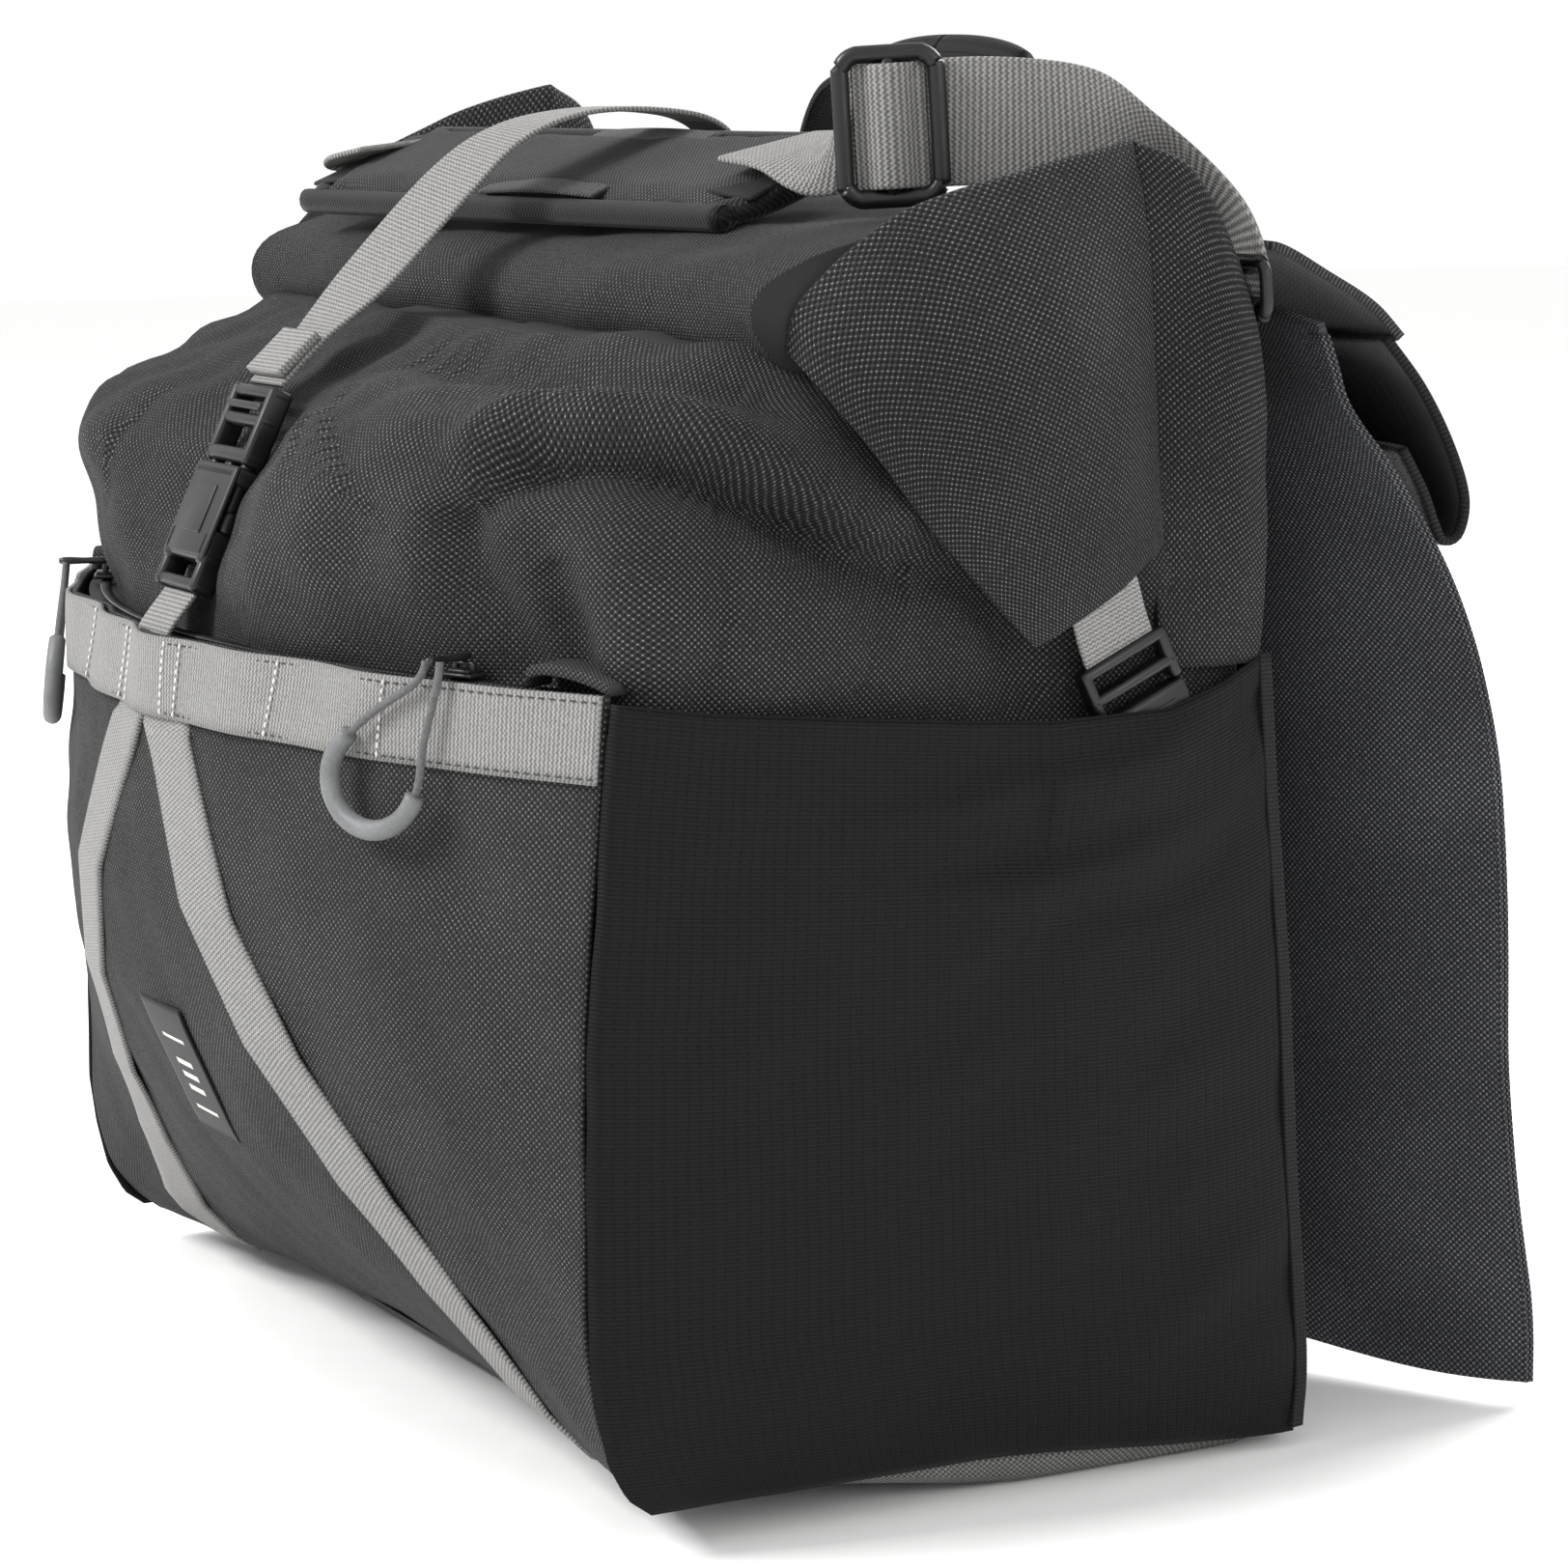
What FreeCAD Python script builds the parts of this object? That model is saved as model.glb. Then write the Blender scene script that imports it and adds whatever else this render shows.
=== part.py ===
"""Roll-top luggage bag, as a parametric FreeCAD document.

Millimetres, +Z up, front of the bag towards -Y, origin in the middle of the base face.
Every driving size is a cell of the spreadsheet "Sizes". Webbing, cloth and cord are plain
closed solids; buckles, rings, sliders and boards have their working shape.
"""

import FreeCAD, Part
import math
import os

import Sketcher

V = FreeCAD.Vector
doc = FreeCAD.newDocument("roll_top_bag")

SIZES = {
    # body
    "half_width": 203.0,
    "front_corner": 110.0,
    "front_bulge": 55.0,
    "back_depth": 124.0,
    "back_rise": 30.0,
    "back_lean": 4.5,
    "pocket_top": 250.0,
    "body_top": 338.0,
    "shoulder_drop": 38.0,
    "wall": 3.0,
    "clearance": 0.4,
    "base_thick": 2.0,
    "base_depth": 206.0,
    "base_inset": 4.0,
    "board_thick": 2.0,
    "lining_thick": 0.8,
    "back_panel_thick": 4.0,
    "back_panel_height": 356.0,
    # front pocket
    "pocket_gap": 12.0,
    "cloth": 2.0,
    "zip_tape_thick": 1.0,
    "zip_tape_width": 11.0,
    "coil_width": 5.0,
    "coil_thick": 1.6,
    "slider_width": 8.0,
    "slider_long": 11.0,
    "slider_tall": 4.4,
    "slider_place": 148.0,
    "pull_rod": 2.6,
    "pull_rod_long": 18.0,
    "garage_long": 22.0,
    # webbing
    "web_width": 25.0,
    "web_thick": 1.6,
    "label_width": 34.0,
    "label_height": 44.0,
    "label_low": 88.0,
    # side pockets
    "mesh_gap": 12.0,
    "mesh_thick": 1.4,
    "mesh_low": 8.0,
    "mesh_mouth": 242.0,
    # roll and ears
    "roll_depth": 150.0,
    "roll_tall": 42.0,
    "roll_front": 58.0,
    "roll_half_long": 188.0,
    "strip_width": 24.0,
    "strip_thick": 1.6,
    "ear_thick": 16.0,
    # side-release buckles
    "buckle_width": 33.0,
    "buckle_long": 42.0,
    "buckle_thick": 10.0,
    "buckle_wall": 2.0,
    "ladder_long": 26.0,
    "ladder_thick": 8.0,
    "buckle_bar": 3.4,
    "buckle_slot": 5.0,
    "prong_long": 24.0,
    "prong_width": 6.0,
    "run_clear": 0.5,
    # shoulder strap
    "sling_width": 38.0,
    "sling_thick": 1.8,
    "glide_tall": 48.0,
    "glide_long": 34.0,
    "glide_thick": 3.6,
    "glide_rim": 5.0,
    "glide_bar": 5.0,
    "pad_long": 262.0,
    "pad_width": 62.0,
    "pad_thick": 9.0,
    "pad_piping": 8.0,
    "ring_wire": 4.0,
    # grab handle
    "handle_half": 88.0,
    "handle_rise": 50.0,
    "handle_width": 20.0,
    "handle_thick": 5.0,
    "handle_grip_thick": 13.0,
    "handle_back": 120.0,
    # rear flap
    "flap_half": 205.0,
    "flap_thick": 2.6,
    "flap_low": 10.0,
    "yoke_half": 160.0,
    "yoke_spread": 195.0,
    "yoke_thick": 3.0,
    # zip pull cord
    "cord_dia": 2.4,
    "grip_dia": 6.0,
    "grip_clear": 0.05,
}

sheet = doc.addObject("Spreadsheet::Sheet", "Sizes")
for row, (alias, value) in enumerate(SIZES.items(), start=1):
    sheet.set(f"A{row}", alias)
    sheet.set(f"B{row}", str(value))
    sheet.setAlias(f"B{row}", alias)
doc.recompute()


def size(alias):
    """A driving size, read from the sheet."""
    return float(sheet.get(alias))


NODES = []


def keep(obj, label):
    """Names a finished sub-part and lists it for export."""
    obj.Label = label
    NODES.append(obj)
    return obj


def shape_node(label, shape):
    """A sub-part whose outline neither sketches nor primitives can give."""
    obj = doc.addObject("Part::Feature", label)
    obj.Shape = shape
    return keep(obj, label)


def frame_at(origin, along, normal):
    """Placement whose local Z runs along the piece and whose local Y is minus the outward normal."""
    z = V(along).normalize()
    y = V(normal).multiply(-1.0)
    y = (y - z * y.dot(z)).normalize()
    x = y.cross(z)
    m = FreeCAD.Matrix(x.x, y.x, z.x, origin.x, x.y, y.y, z.y, origin.y, x.z, y.z, z.z, origin.z, 0, 0, 0, 1)
    return FreeCAD.Placement(m)


# ---------------------------------------------------------------- sketched bodies


def new_body(name):
    return doc.addObject("PartDesign::Body", name)


def plane_sketch(body, role, name):
    """An empty sketch on one of the body's own origin planes."""
    sketch = body.newObject("Sketcher::SketchObject", name)
    plane = [f for f in body.Origin.OriginFeatures if f.Role == role][0]
    sketch.AttachmentSupport = [(plane, "")]
    sketch.MapMode = "FlatFace"
    return sketch


def centred_rectangle(sketch, width_expr, height_expr, centre_expr="0"):
    """A rectangle centred on the sketch's vertical axis; centre_expr is its centre's height."""
    width, height, mid = 20.0, 10.0, 30.0
    corners = [(-width, mid - height), (width, mid - height), (width, mid + height), (-width, mid + height)]
    first = sketch.GeometryCount
    for i in range(4):
        a, b = corners[i], corners[(i + 1) % 4]
        sketch.addGeometry(Part.LineSegment(V(a[0], a[1], 0), V(b[0], b[1], 0)), False)
    for i in range(4):
        sketch.addConstraint(Sketcher.Constraint("Coincident", first + i, 2, first + (i + 1) % 4, 1))
    for i in (0, 2):
        sketch.addConstraint(Sketcher.Constraint("Horizontal", first + i))
        sketch.addConstraint(Sketcher.Constraint("Vertical", first + i + 1))
    tall = sketch.addConstraint(Sketcher.Constraint("DistanceY", first + 1, 1, first + 1, 2, 2 * height))
    wide = sketch.addConstraint(Sketcher.Constraint("DistanceX", first, 1, first, 2, 2 * width))
    left = sketch.addConstraint(Sketcher.Constraint("DistanceX", first, 1, -1, 1, width))
    low = sketch.addConstraint(Sketcher.Constraint("DistanceY", -1, 1, first, 1, mid - height))
    sketch.setExpression(f"Constraints[{tall}]", height_expr)
    sketch.setExpression(f"Constraints[{wide}]", width_expr)
    sketch.setExpression(f"Constraints[{left}]", f"({width_expr}) / 2")
    sketch.setExpression(f"Constraints[{low}]", f"({centre_expr}) - ({height_expr}) / 2")


def pad(body, sketch, length_expr, midplane=True):
    feature = body.newObject("PartDesign::Pad", "Pad")
    feature.Profile = sketch
    feature.setExpression("Length", length_expr)
    feature.Midplane = midplane
    return feature


def pocket(body, sketch, length_expr):
    """Cuts the sketch through the body, the same way on both sides of its plane."""
    feature = body.newObject("PartDesign::Pocket", "Pocket")
    feature.Profile = sketch
    feature.Midplane = True
    feature.setExpression("Length", length_expr)
    return feature


def round_edges(body, base, radius_expr, picks):
    """Rounds the edges of base that picks(edge) chooses."""
    doc.recompute()
    names = [f"Edge{i}" for i, e in enumerate(base.Shape.Edges, start=1) if picks(e)]
    fillet = body.newObject("PartDesign::Fillet", "Round")
    fillet.Base = (base, names)
    fillet.setExpression("Radius", radius_expr)
    body.Tip = fillet
    return fillet


def runs_along(axis):
    """Picks straight edges that run along a local axis, 0 to 2."""
    return lambda e: len(e.Vertexes) == 2 and abs(abs(e.tangentAt(e.FirstParameter)[axis]) - 1) < 1e-6


def plate(label, width_expr, height_expr, thick_expr, centre_expr, radius_expr, placement):
    """A flat piece: local X across, local Z up, its thickness centred on local Y."""
    body = new_body(label)
    sketch = plane_sketch(body, "XZ_Plane", f"{label}_outline")
    centred_rectangle(sketch, width_expr, height_expr, centre_expr)
    solid = pad(body, sketch, thick_expr)
    round_edges(body, solid, radius_expr, runs_along(1))
    body.Placement = placement
    return keep(body, label)


# ---------------------------------------------------------------- body surfaces

HALF = size("half_width")
CLEAR = size("clearance")
FRONT = size("front_corner") + size("front_bulge")
RADIUS = (HALF**2 + size("front_bulge") ** 2) / (2 * size("front_bulge"))
CENTRE_Y = RADIUS - FRONT
TOP = size("pocket_top")
FULL = size("body_top")
SHELL_IN = size("pocket_gap") + size("cloth")
LEAN = math.radians(size("back_lean"))

# Outline of the front at each height, as insets from the full size in millimetres: height as a
# share of the pocket's, then how far the side, the corner seam and the middle lie inside it.
LOWER = [
    (0.0, 6.0, 16.0, 66.0),
    (0.12, 0.0, 0.0, 42.0),
    (0.36, 0.0, -7.0, 12.0),
    (0.52, 0.0, -7.0, 0.0),
    (0.68, 0.0, -6.0, -4.0),
    (1.0, 0.0, 0.0, 0.0),
]
# The same above the pocket: up to 1 a share of the way to the shoulder, from there to 2 of the
# way on to the top. The last number is the cloth's swell between the middle and the corner.
UPPER = [
    (0.0, 0.0, 0.0, 0.0, 0.0),
    (0.49, 0.0, 2.0, 6.0, 5.0),
    (1.0, 1.0, 8.0, 19.0, 13.0),
    (1.54, 4.0, 20.0, 34.0, 12.0),
    (2.0, 10.0, 36.0, 58.0, 6.0),
]


def back_y(z):
    """The back wall leans forward above the base's round."""
    if z < size("back_rise"):
        return size("back_depth") - 4.0 * (1 - z / size("back_rise"))
    return size("back_depth") - math.tan(LEAN) * (z - size("back_rise"))


def arc_through(half, corner, middle):
    """Y of the circle through both corners and the middle, as a function of x."""
    bulge = max(middle - corner, 0.5)
    r = (half**2 + bulge**2) / (2 * bulge)
    return lambda x: -(middle - r + math.sqrt(r**2 - x**2))


def front_edge(half, corner, middle, swell, z):
    y = arc_through(half, corner, middle)
    shares = (1.0, 0.55, 0.0, -0.55, -1.0)
    extra = (0.0, swell, 0.0, swell, 0.0)
    points = [V(half * s, y(half * s) - e, z) for s, e in zip(shares, extra)]
    curve = Part.BSplineCurve()
    curve.interpolate(points)
    return curve.toShape(), points[0], points[-1]


def body_section(z, half, corner, middle, swell, inset=0.0):
    """A closed outline of the body at one height: front curve, two sides and the back."""
    half, corner, middle, back = half - inset, corner - inset, middle - inset, back_y(z) - inset
    front, right, left = front_edge(half, corner, middle, swell, z)
    corners = [left, V(-half, back, z), V(half, back, z), right]
    sides = [Part.LineSegment(corners[i], corners[i + 1]).toShape() for i in range(3)]
    return Part.Wire([front, *sides])


def above_pocket(share):
    """Height of a level of UPPER."""
    shoulder = FULL - size("shoulder_drop")
    if share <= 1:
        return TOP + share * (shoulder - TOP)
    return shoulder + (share - 1) * (FULL - shoulder)


def shell_levels():
    """(z, half width, corner, middle, swell) of the main shell from its floor to its top."""
    corner0 = CENTRE_Y - math.sqrt((RADIUS - SHELL_IN) ** 2 - HALF**2)
    lower = [(s * TOP, HALF - a, -corner0 - b, FRONT - SHELL_IN - c, 0.0) for s, a, b, c in LOWER[:-1]]
    upper = [(above_pocket(s), HALF - a, -corner0 - b, FRONT - SHELL_IN - c, e) for s, a, b, c, e in UPPER]
    return lower + upper


def shell_solid(inset, low, high):
    """The body's outer form made smaller by inset, from height low to height high."""
    levels = shell_levels()
    wires = []
    for z, half, corner, middle, swell in levels:
        z = min(max(z, low), high) if z in (levels[0][0], levels[-1][0]) else z
        wires.append(body_section(z, half, corner, middle, swell, inset))
    return Part.makeLoft(wires, True, True)


def front_layer(inner, outer):
    """A skin of the front pocket, between two distances outside its cloth's outer face."""
    wires = []
    for share, a, b, c in LOWER:
        z, half = share * TOP, HALF - a
        corner, middle = size("front_corner") - b, FRONT - c
        out, right, left = front_edge(half, corner + outer, middle + outer, 0.0, z)
        inn, right_in, left_in = front_edge(half, corner + inner, middle + inner, 0.0, z)
        edges = [out, Part.LineSegment(left, left_in).toShape(), inn, Part.LineSegment(right_in, right).toShape()]
        wires.append(Part.Wire(Part.__sortEdges__(edges)))
    return Part.makeLoft(wires, True, True)


def front_piece(label, inner, outer, outline):
    """The part of a front skin that lies behind an outline of (x, z) points."""
    points = [V(x, -2 * FRONT, z) for x, z in outline]
    prism = Part.Face(Part.makePolygon([*points, points[0]])).extrude(V(0, 2 * FRONT, 0))
    return shape_node(label, front_layer(inner, outer).common(prism))


def ribbon_solid(stations, width, thick, mirror=False):
    """A rectangle carried through stations of (point, across, normal); width may differ at each."""
    wires = []
    side = -1 if mirror else 1
    widths = width if isinstance(width, list) else [width] * len(stations)
    for (point, across, normal), wide in zip(stations, widths):
        p = V(side * point[0], point[1], point[2])
        a = V(side * across[0], across[1], across[2]).normalize() * (wide / 2)
        n = V(side * normal[0], normal[1], normal[2])
        n = (n - a * (n.dot(a) / a.dot(a))).normalize() * (thick / 2)
        corners = [p + a + n, p - a + n, p - a - n, p + a - n]
        wires.append(Part.makePolygon([*corners, corners[0]]))
    solid = Part.makeLoft(wires, True, True)
    if solid.Volume < 0:
        solid.reverse()
    return solid


def ribbon(label, stations, width, thick, mirror=False):
    """Webbing or a cloth panel, as one node."""
    return shape_node(label, ribbon_solid(stations, width, thick, mirror))


def prism_x(points, low, high):
    """A (y, z) outline carried along X from low to high."""
    corners = [V(low, y, z) for y, z in points]
    return Part.Face(Part.makePolygon([*corners, corners[0]])).extrude(V(high - low, 0, 0))


# ---------------------------------------------------------------- main shell


def make_shell():
    """Outer cloth of the bag, open at the top."""
    floor = size("base_thick") + CLEAR
    outer = shell_solid(0.0, floor, FULL)
    inner = shell_solid(size("wall"), floor + size("wall"), FULL + 1.0)
    shape_node("main_shell", outer.cut(inner))
    lining_in = size("wall") + size("board_thick") + 2 * CLEAR
    low = floor + lining_in
    skin = shell_solid(lining_in, low, FULL - CLEAR)
    hollow = shell_solid(lining_in + size("lining_thick"), low + size("lining_thick"), FULL + 1.0)
    shape_node("waterproof_lining", skin.cut(hollow))


def leaning(y_offset):
    """Placement of a plate along the back wall, y_offset outside the wall's outer face."""
    turn = FreeCAD.Rotation(V(1, 0, 0), size("back_lean"))
    foot = V(0, back_y(size("back_rise")) + y_offset / math.cos(LEAN), size("back_rise"))
    return FreeCAD.Placement(foot, turn)


def make_boards():
    """Base panel, and the stiffeners between shell and lining."""
    back = back_y(0.0) - size("base_inset")
    foot = FreeCAD.Placement(V(0, back, size("base_thick") / 2), FreeCAD.Rotation(V(1, 0, 0), 90))
    plate(
        "base_panel",
        "2 * (Sizes.half_width - 6 - Sizes.base_inset)",
        "Sizes.base_depth",
        "Sizes.base_thick",
        "Sizes.base_depth / 2",
        "18",
        foot,
    )
    lift = size("base_thick") + 2 * CLEAR + size("wall") + size("board_thick") / 2
    inside = back - size("wall") - size("board_thick") - 2 * CLEAR
    plate(
        "base_board",
        "2 * (Sizes.half_width - 6 - Sizes.base_inset - Sizes.wall - 3)",
        "Sizes.base_depth - 26",
        "Sizes.board_thick",
        "(Sizes.base_depth - 26) / 2",
        "14",
        FreeCAD.Placement(V(0, inside, lift), FreeCAD.Rotation(V(1, 0, 0), 90)),
    )
    plate(
        "back_board",
        "2 * (Sizes.half_width - Sizes.wall - 14)",
        "Sizes.body_top - 58",
        "Sizes.board_thick",
        "(Sizes.body_top - 58) / 2 + 4",
        "12",
        leaning(-size("wall") - CLEAR - size("board_thick") / 2),
    )
    panel = plate(
        "back_panel",
        "2 * (Sizes.half_width - 5)",
        "Sizes.back_panel_height",
        "Sizes.back_panel_thick",
        "Sizes.back_panel_height / 2 - 16",
        "16",
        leaning(CLEAR + size("back_panel_thick") / 2),
    )
    rounded = panel.Tip
    seam = plane_sketch(panel, "XZ_Plane", "back_panel_seam")
    seam.setExpression("AttachmentOffset.Base.z", "-Sizes.back_panel_thick / 2")
    centred_rectangle(seam, "2 * Sizes.half_width", "1", "Sizes.body_top - 58")
    groove = pocket(panel, seam, "1.2")
    groove.BaseFeature = rounded
    panel.Tip = groove


# ---------------------------------------------------------------- front pocket


def zip_angle(x):
    """Angle round the zip's own centre of a point at width x."""
    return math.asin(x / zip_radius())


def zip_radius():
    return RADIUS - size("cloth") - size("pocket_gap") / 2


def zip_band(label, width, thick, z_low, half_angle):
    """A flat strip that follows the pocket's mouth."""
    mid = zip_radius()
    centre = V(0, CENTRE_Y, z_low)
    ring = Part.makeCylinder(mid + width / 2, thick, centre).cut(Part.makeCylinder(mid - width / 2, thick, centre))
    reach = 2 * RADIUS
    tip = [V(0, CENTRE_Y, z_low - 1)]
    tip += [
        V(s * reach * math.sin(half_angle), CENTRE_Y - reach * math.cos(half_angle), z_low - 1) for s in (-1, 1)
    ]
    wedge = Part.Face(Part.makePolygon([*tip, tip[0]])).extrude(V(0, 0, thick + 2))
    return shape_node(label, ring.common(wedge))


def make_front_pocket():
    """Pocket cloth, the webbing round its mouth, straps, label and zip."""
    web, gap = size("web_thick"), CLEAR
    low = size("base_thick") + CLEAR + 8
    wide = HALF + 1
    box = [(-wide, low), (wide, low), (wide, TOP), (-wide, TOP)]
    front_piece("front_pocket_panel", -size("cloth"), 0.0, box)
    band_low = TOP - size("web_width")
    box = [(-wide, band_low), (wide, band_low), (wide, TOP), (-wide, TOP)]
    front_piece("mouth_webbing", gap, gap + web, box)
    # The two straps leave the middle under the mouth webbing and end at the lower corners.
    half = size("web_width") / 2
    foot_x, foot_z = HALF - 38, 24.0
    head_x, head_z = 16.0, band_low - CLEAR
    lean = math.atan2(foot_x - head_x, head_z - foot_z)
    across_x = half / math.cos(lean)
    for name, s in (("right", 1), ("left", -1)):
        outline = [
            (s * (head_x - across_x + half), head_z),
            (s * (head_x + across_x + half), head_z),
            (s * (foot_x + across_x), foot_z),
            (s * (foot_x - across_x), foot_z),
        ]
        front_piece(f"diagonal_strap_{name}", gap, gap + web, outline)
    lw, lz = size("label_width") / 2, size("label_low")
    top = lz + size("label_height")
    front_piece("woven_label", gap, gap + 1.0, [(-lw, lz), (lw, lz), (lw, top), (-lw, top)])
    # Rows of bar tacks hold the band in loops on both sides of the middle.
    tacks = front_layer(gap + web + 0.1, gap + web + 0.7)
    rows = []
    for x in (18, 26, 78, 132):
        for s in (-1, 1):
            slab = Part.makeBox(1.2, 2 * FRONT, size("web_width") - 4, V(s * x - 0.6, -2 * FRONT, band_low + 2))
            rows.append(tacks.common(slab))
    shape_node("band_bar_tacks", Part.makeCompound([s for r in rows for s in r.Solids]))
    tape_low = TOP - 3.0
    end = zip_angle(HALF - 20)
    zip_band("zip_tape", size("zip_tape_width"), size("zip_tape_thick"), tape_low, end)
    coil_low = tape_low + size("zip_tape_thick")
    zip_band("zip_coil", size("coil_width"), size("coil_thick"), coil_low, end)
    return coil_low + size("coil_thick")


def around_zip(angle, r, z):
    """A point at an angle round the zip's centre, at radius r and height z."""
    return V(r * math.sin(angle), CENTRE_Y - r * math.cos(angle), z)


def make_garage(name, s, z):
    """Folded cloth tab that covers the end of the zip."""
    long, wide, tall = size("garage_long"), size("zip_tape_width") - 1, 6.0
    angle = zip_angle(HALF - 8 - long / 2)
    box = doc.addObject("Part::Box", f"garage_{name}")
    box.setExpression("Length", "Sizes.garage_long")
    box.setExpression("Width", "Sizes.zip_tape_width - 1")
    box.Height = tall
    turn = FreeCAD.Rotation(V(0, 0, 1), math.degrees(s * angle))
    centre = around_zip(s * angle, zip_radius(), z + CLEAR)
    box.Placement = FreeCAD.Placement(centre - turn.multVec(V(long / 2, wide / 2, 0)), turn)
    keep(box, f"zip_end_tab_{name}")


# ---------------------------------------------------------------- zip sliders and pulls

# Route of the pull cord's loop in its own plane, seen from the front: across and up from the eye.
PULL_ROUTE = [
    (-2.7, 1.3),
    (-2.9, -4.0),
    (-19.5, -13.0),
    (-30.0, -20.5),
    (-38.5, -29.0),
    (-38.0, -40.0),
    (-29.5, -48.0),
    (-18.0, -49.5),
    (-7.5, -44.5),
    (-2.5, -35.0),
    (-2.5, -23.5),
    (2.8, -4.2),
    (2.7, 1.3),
]
GRIP_FROM, GRIP_TO = 3, 9


def rounded_path(points):
    """Straight runs joined by tangent arcs, as a list of edges; also the arcs' radii."""
    edges, radii, start = [], [], points[0]
    for before, at, after in zip(points, points[1:], points[2:]):
        a, b = before - at, after - at
        turn = math.pi - a.getAngle(b)
        reach = 0.45 * min(a.Length, b.Length)
        radii.append(reach / math.tan(turn / 2))
        p, q = at + a.normalize() * reach, at + b.normalize() * reach
        toward = (a + b).normalize()
        middle = at + toward * (radii[-1] / math.cos(turn / 2) - radii[-1])
        edges += [Part.LineSegment(start, p).toShape(), Part.Arc(p, middle, q).toShape()]
        start = q
    edges.append(Part.LineSegment(start, points[-1]).toShape())
    return edges, radii


def tube(edges, radius):
    """A round section swept along a chain of edges."""
    first = edges[0]
    point = first.valueAt(first.FirstParameter)
    circle = Part.Wire(Part.Circle(point, first.tangentAt(first.FirstParameter), radius).toShape())
    return Part.Wire(edges).makePipeShell([circle], True, True)


def slider_body(name, angle, z):
    """Zip slider: a block that straddles the coil, with a bridge on top."""
    body = new_body(f"slider_{name}")
    sketch = plane_sketch(body, "XY_Plane", f"slider_{name}_outline")
    centred_rectangle(sketch, "Sizes.slider_long", "Sizes.slider_width")
    block = pad(body, sketch, "Sizes.slider_tall", midplane=False)
    round_edges(body, block, "2", runs_along(2))
    turn = FreeCAD.Rotation(V(0, 0, 1), math.degrees(angle))
    body.Placement = FreeCAD.Placement(around_zip(angle, zip_radius(), z + CLEAR), turn)
    keep(body, f"zip_slider_{name}")


def make_pull(name, s, z):
    """Rod, cord loop and moulded grip of one zip slider, hanging outside the mouth webbing."""
    angle = s * zip_angle(size("slider_place"))
    slider_body(name, angle, z)
    along = V(math.cos(angle), math.sin(angle), 0)
    out = V(math.sin(angle), -math.cos(angle), 0)
    top = z + 2 * CLEAR + size("slider_tall")
    rod = size("pull_rod")
    length = size("pull_rod_long")
    root = around_zip(angle, zip_radius() - 2.0, top + rod / 2)
    bar = doc.addObject("Part::Cylinder", f"rod_{name}")
    bar.setExpression("Radius", "Sizes.pull_rod / 2")
    bar.setExpression("Height", "Sizes.pull_rod_long")
    bar.Placement = FreeCAD.Placement(root, FreeCAD.Rotation(V(0, 0, 1), out))
    keep(bar, f"pull_rod_{name}")
    eye = root + out * (length - rod) + V(0, 0, -rod / 2 - CLEAR / 4)
    hang = out * 0.10
    points = [eye + along * (s * u) + V(0, 0, w) + hang * (-w) for u, w in PULL_ROUTE]
    edges, radii = rounded_path(points)
    print(f"pull cord {name}: radii", [round(r, 1) for r in radii])
    cord = tube(edges, size("cord_dia") / 2)
    grip_edges = edges[2 * GRIP_FROM : 2 * GRIP_TO - 1]
    bore = tube(grip_edges, size("cord_dia") / 2 + size("grip_clear"))
    grip = tube(grip_edges, size("grip_dia") / 2)
    length = sum(e.Length for e in edges)
    print(f"pull cord {name}: length {length:.1f}, volume share", round(cord.Volume / (length * 4.5239), 3))
    shape_node(f"pull_cord_{name}", cord)
    shape_node(f"pull_grip_{name}", grip.cut(bore))


# ---------------------------------------------------------------- side pockets


def make_mesh_pocket(name, s):
    """Stretch pocket on the side: outer wall, floor and two edges, open at the top."""
    gap, thick = size("mesh_gap"), size("mesh_thick")
    low, high = size("mesh_low"), size("mesh_mouth")
    inner_x = HALF + CLEAR
    front, back = -size("front_corner"), back_y(high) - 1.0
    depth = gap + thick
    outer = doc.addObject("Part::Box", f"mesh_outer_{name}")
    outer.setExpression("Length", "Sizes.mesh_gap + Sizes.mesh_thick")
    outer.setExpression("Height", "Sizes.mesh_mouth - Sizes.mesh_low")
    outer.Width = back - front
    hollow = doc.addObject("Part::Box", f"mesh_hollow_{name}")
    hollow.setExpression("Length", "Sizes.mesh_gap + 1")
    hollow.setExpression("Height", "Sizes.mesh_mouth - Sizes.mesh_low")
    hollow.Width = back - front - 2 * thick
    at = inner_x if s > 0 else -inner_x - depth
    outer.Placement.Base = V(at, front, low)
    hollow.Placement.Base = V(inner_x - 1 if s > 0 else -inner_x - gap, front + thick, low + thick)
    cut = doc.addObject("Part::Cut", f"mesh_cut_{name}")
    cut.Base, cut.Tool = outer, hollow
    keep(cut, f"mesh_pocket_{name}")
    seam = doc.addObject("Part::Box", f"seam_{name}")
    seam.setExpression("Length", "Sizes.mesh_gap / 2")
    seam.Width = 2.0
    seam.setExpression("Height", "Sizes.mesh_mouth - Sizes.mesh_low")
    seam.Placement.Base = V(inner_x if s > 0 else -inner_x - gap / 2, back + CLEAR, low)
    keep(seam, f"back_edge_binding_{name}")
    tab = doc.addObject("Part::Cylinder", f"corner_tab_{name}")
    tab.Radius, tab.Height = 5.0, 14.0
    tab.Placement = FreeCAD.Placement(
        V(s * (HALF - 14) + (-7 if s < 0 else -7), back_y(6) + 5.8, 6.0), FreeCAD.Rotation(V(0, 1, 0), 90)
    )
    keep(tab, f"corner_tab_{name}")


# ---------------------------------------------------------------- roll top


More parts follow.
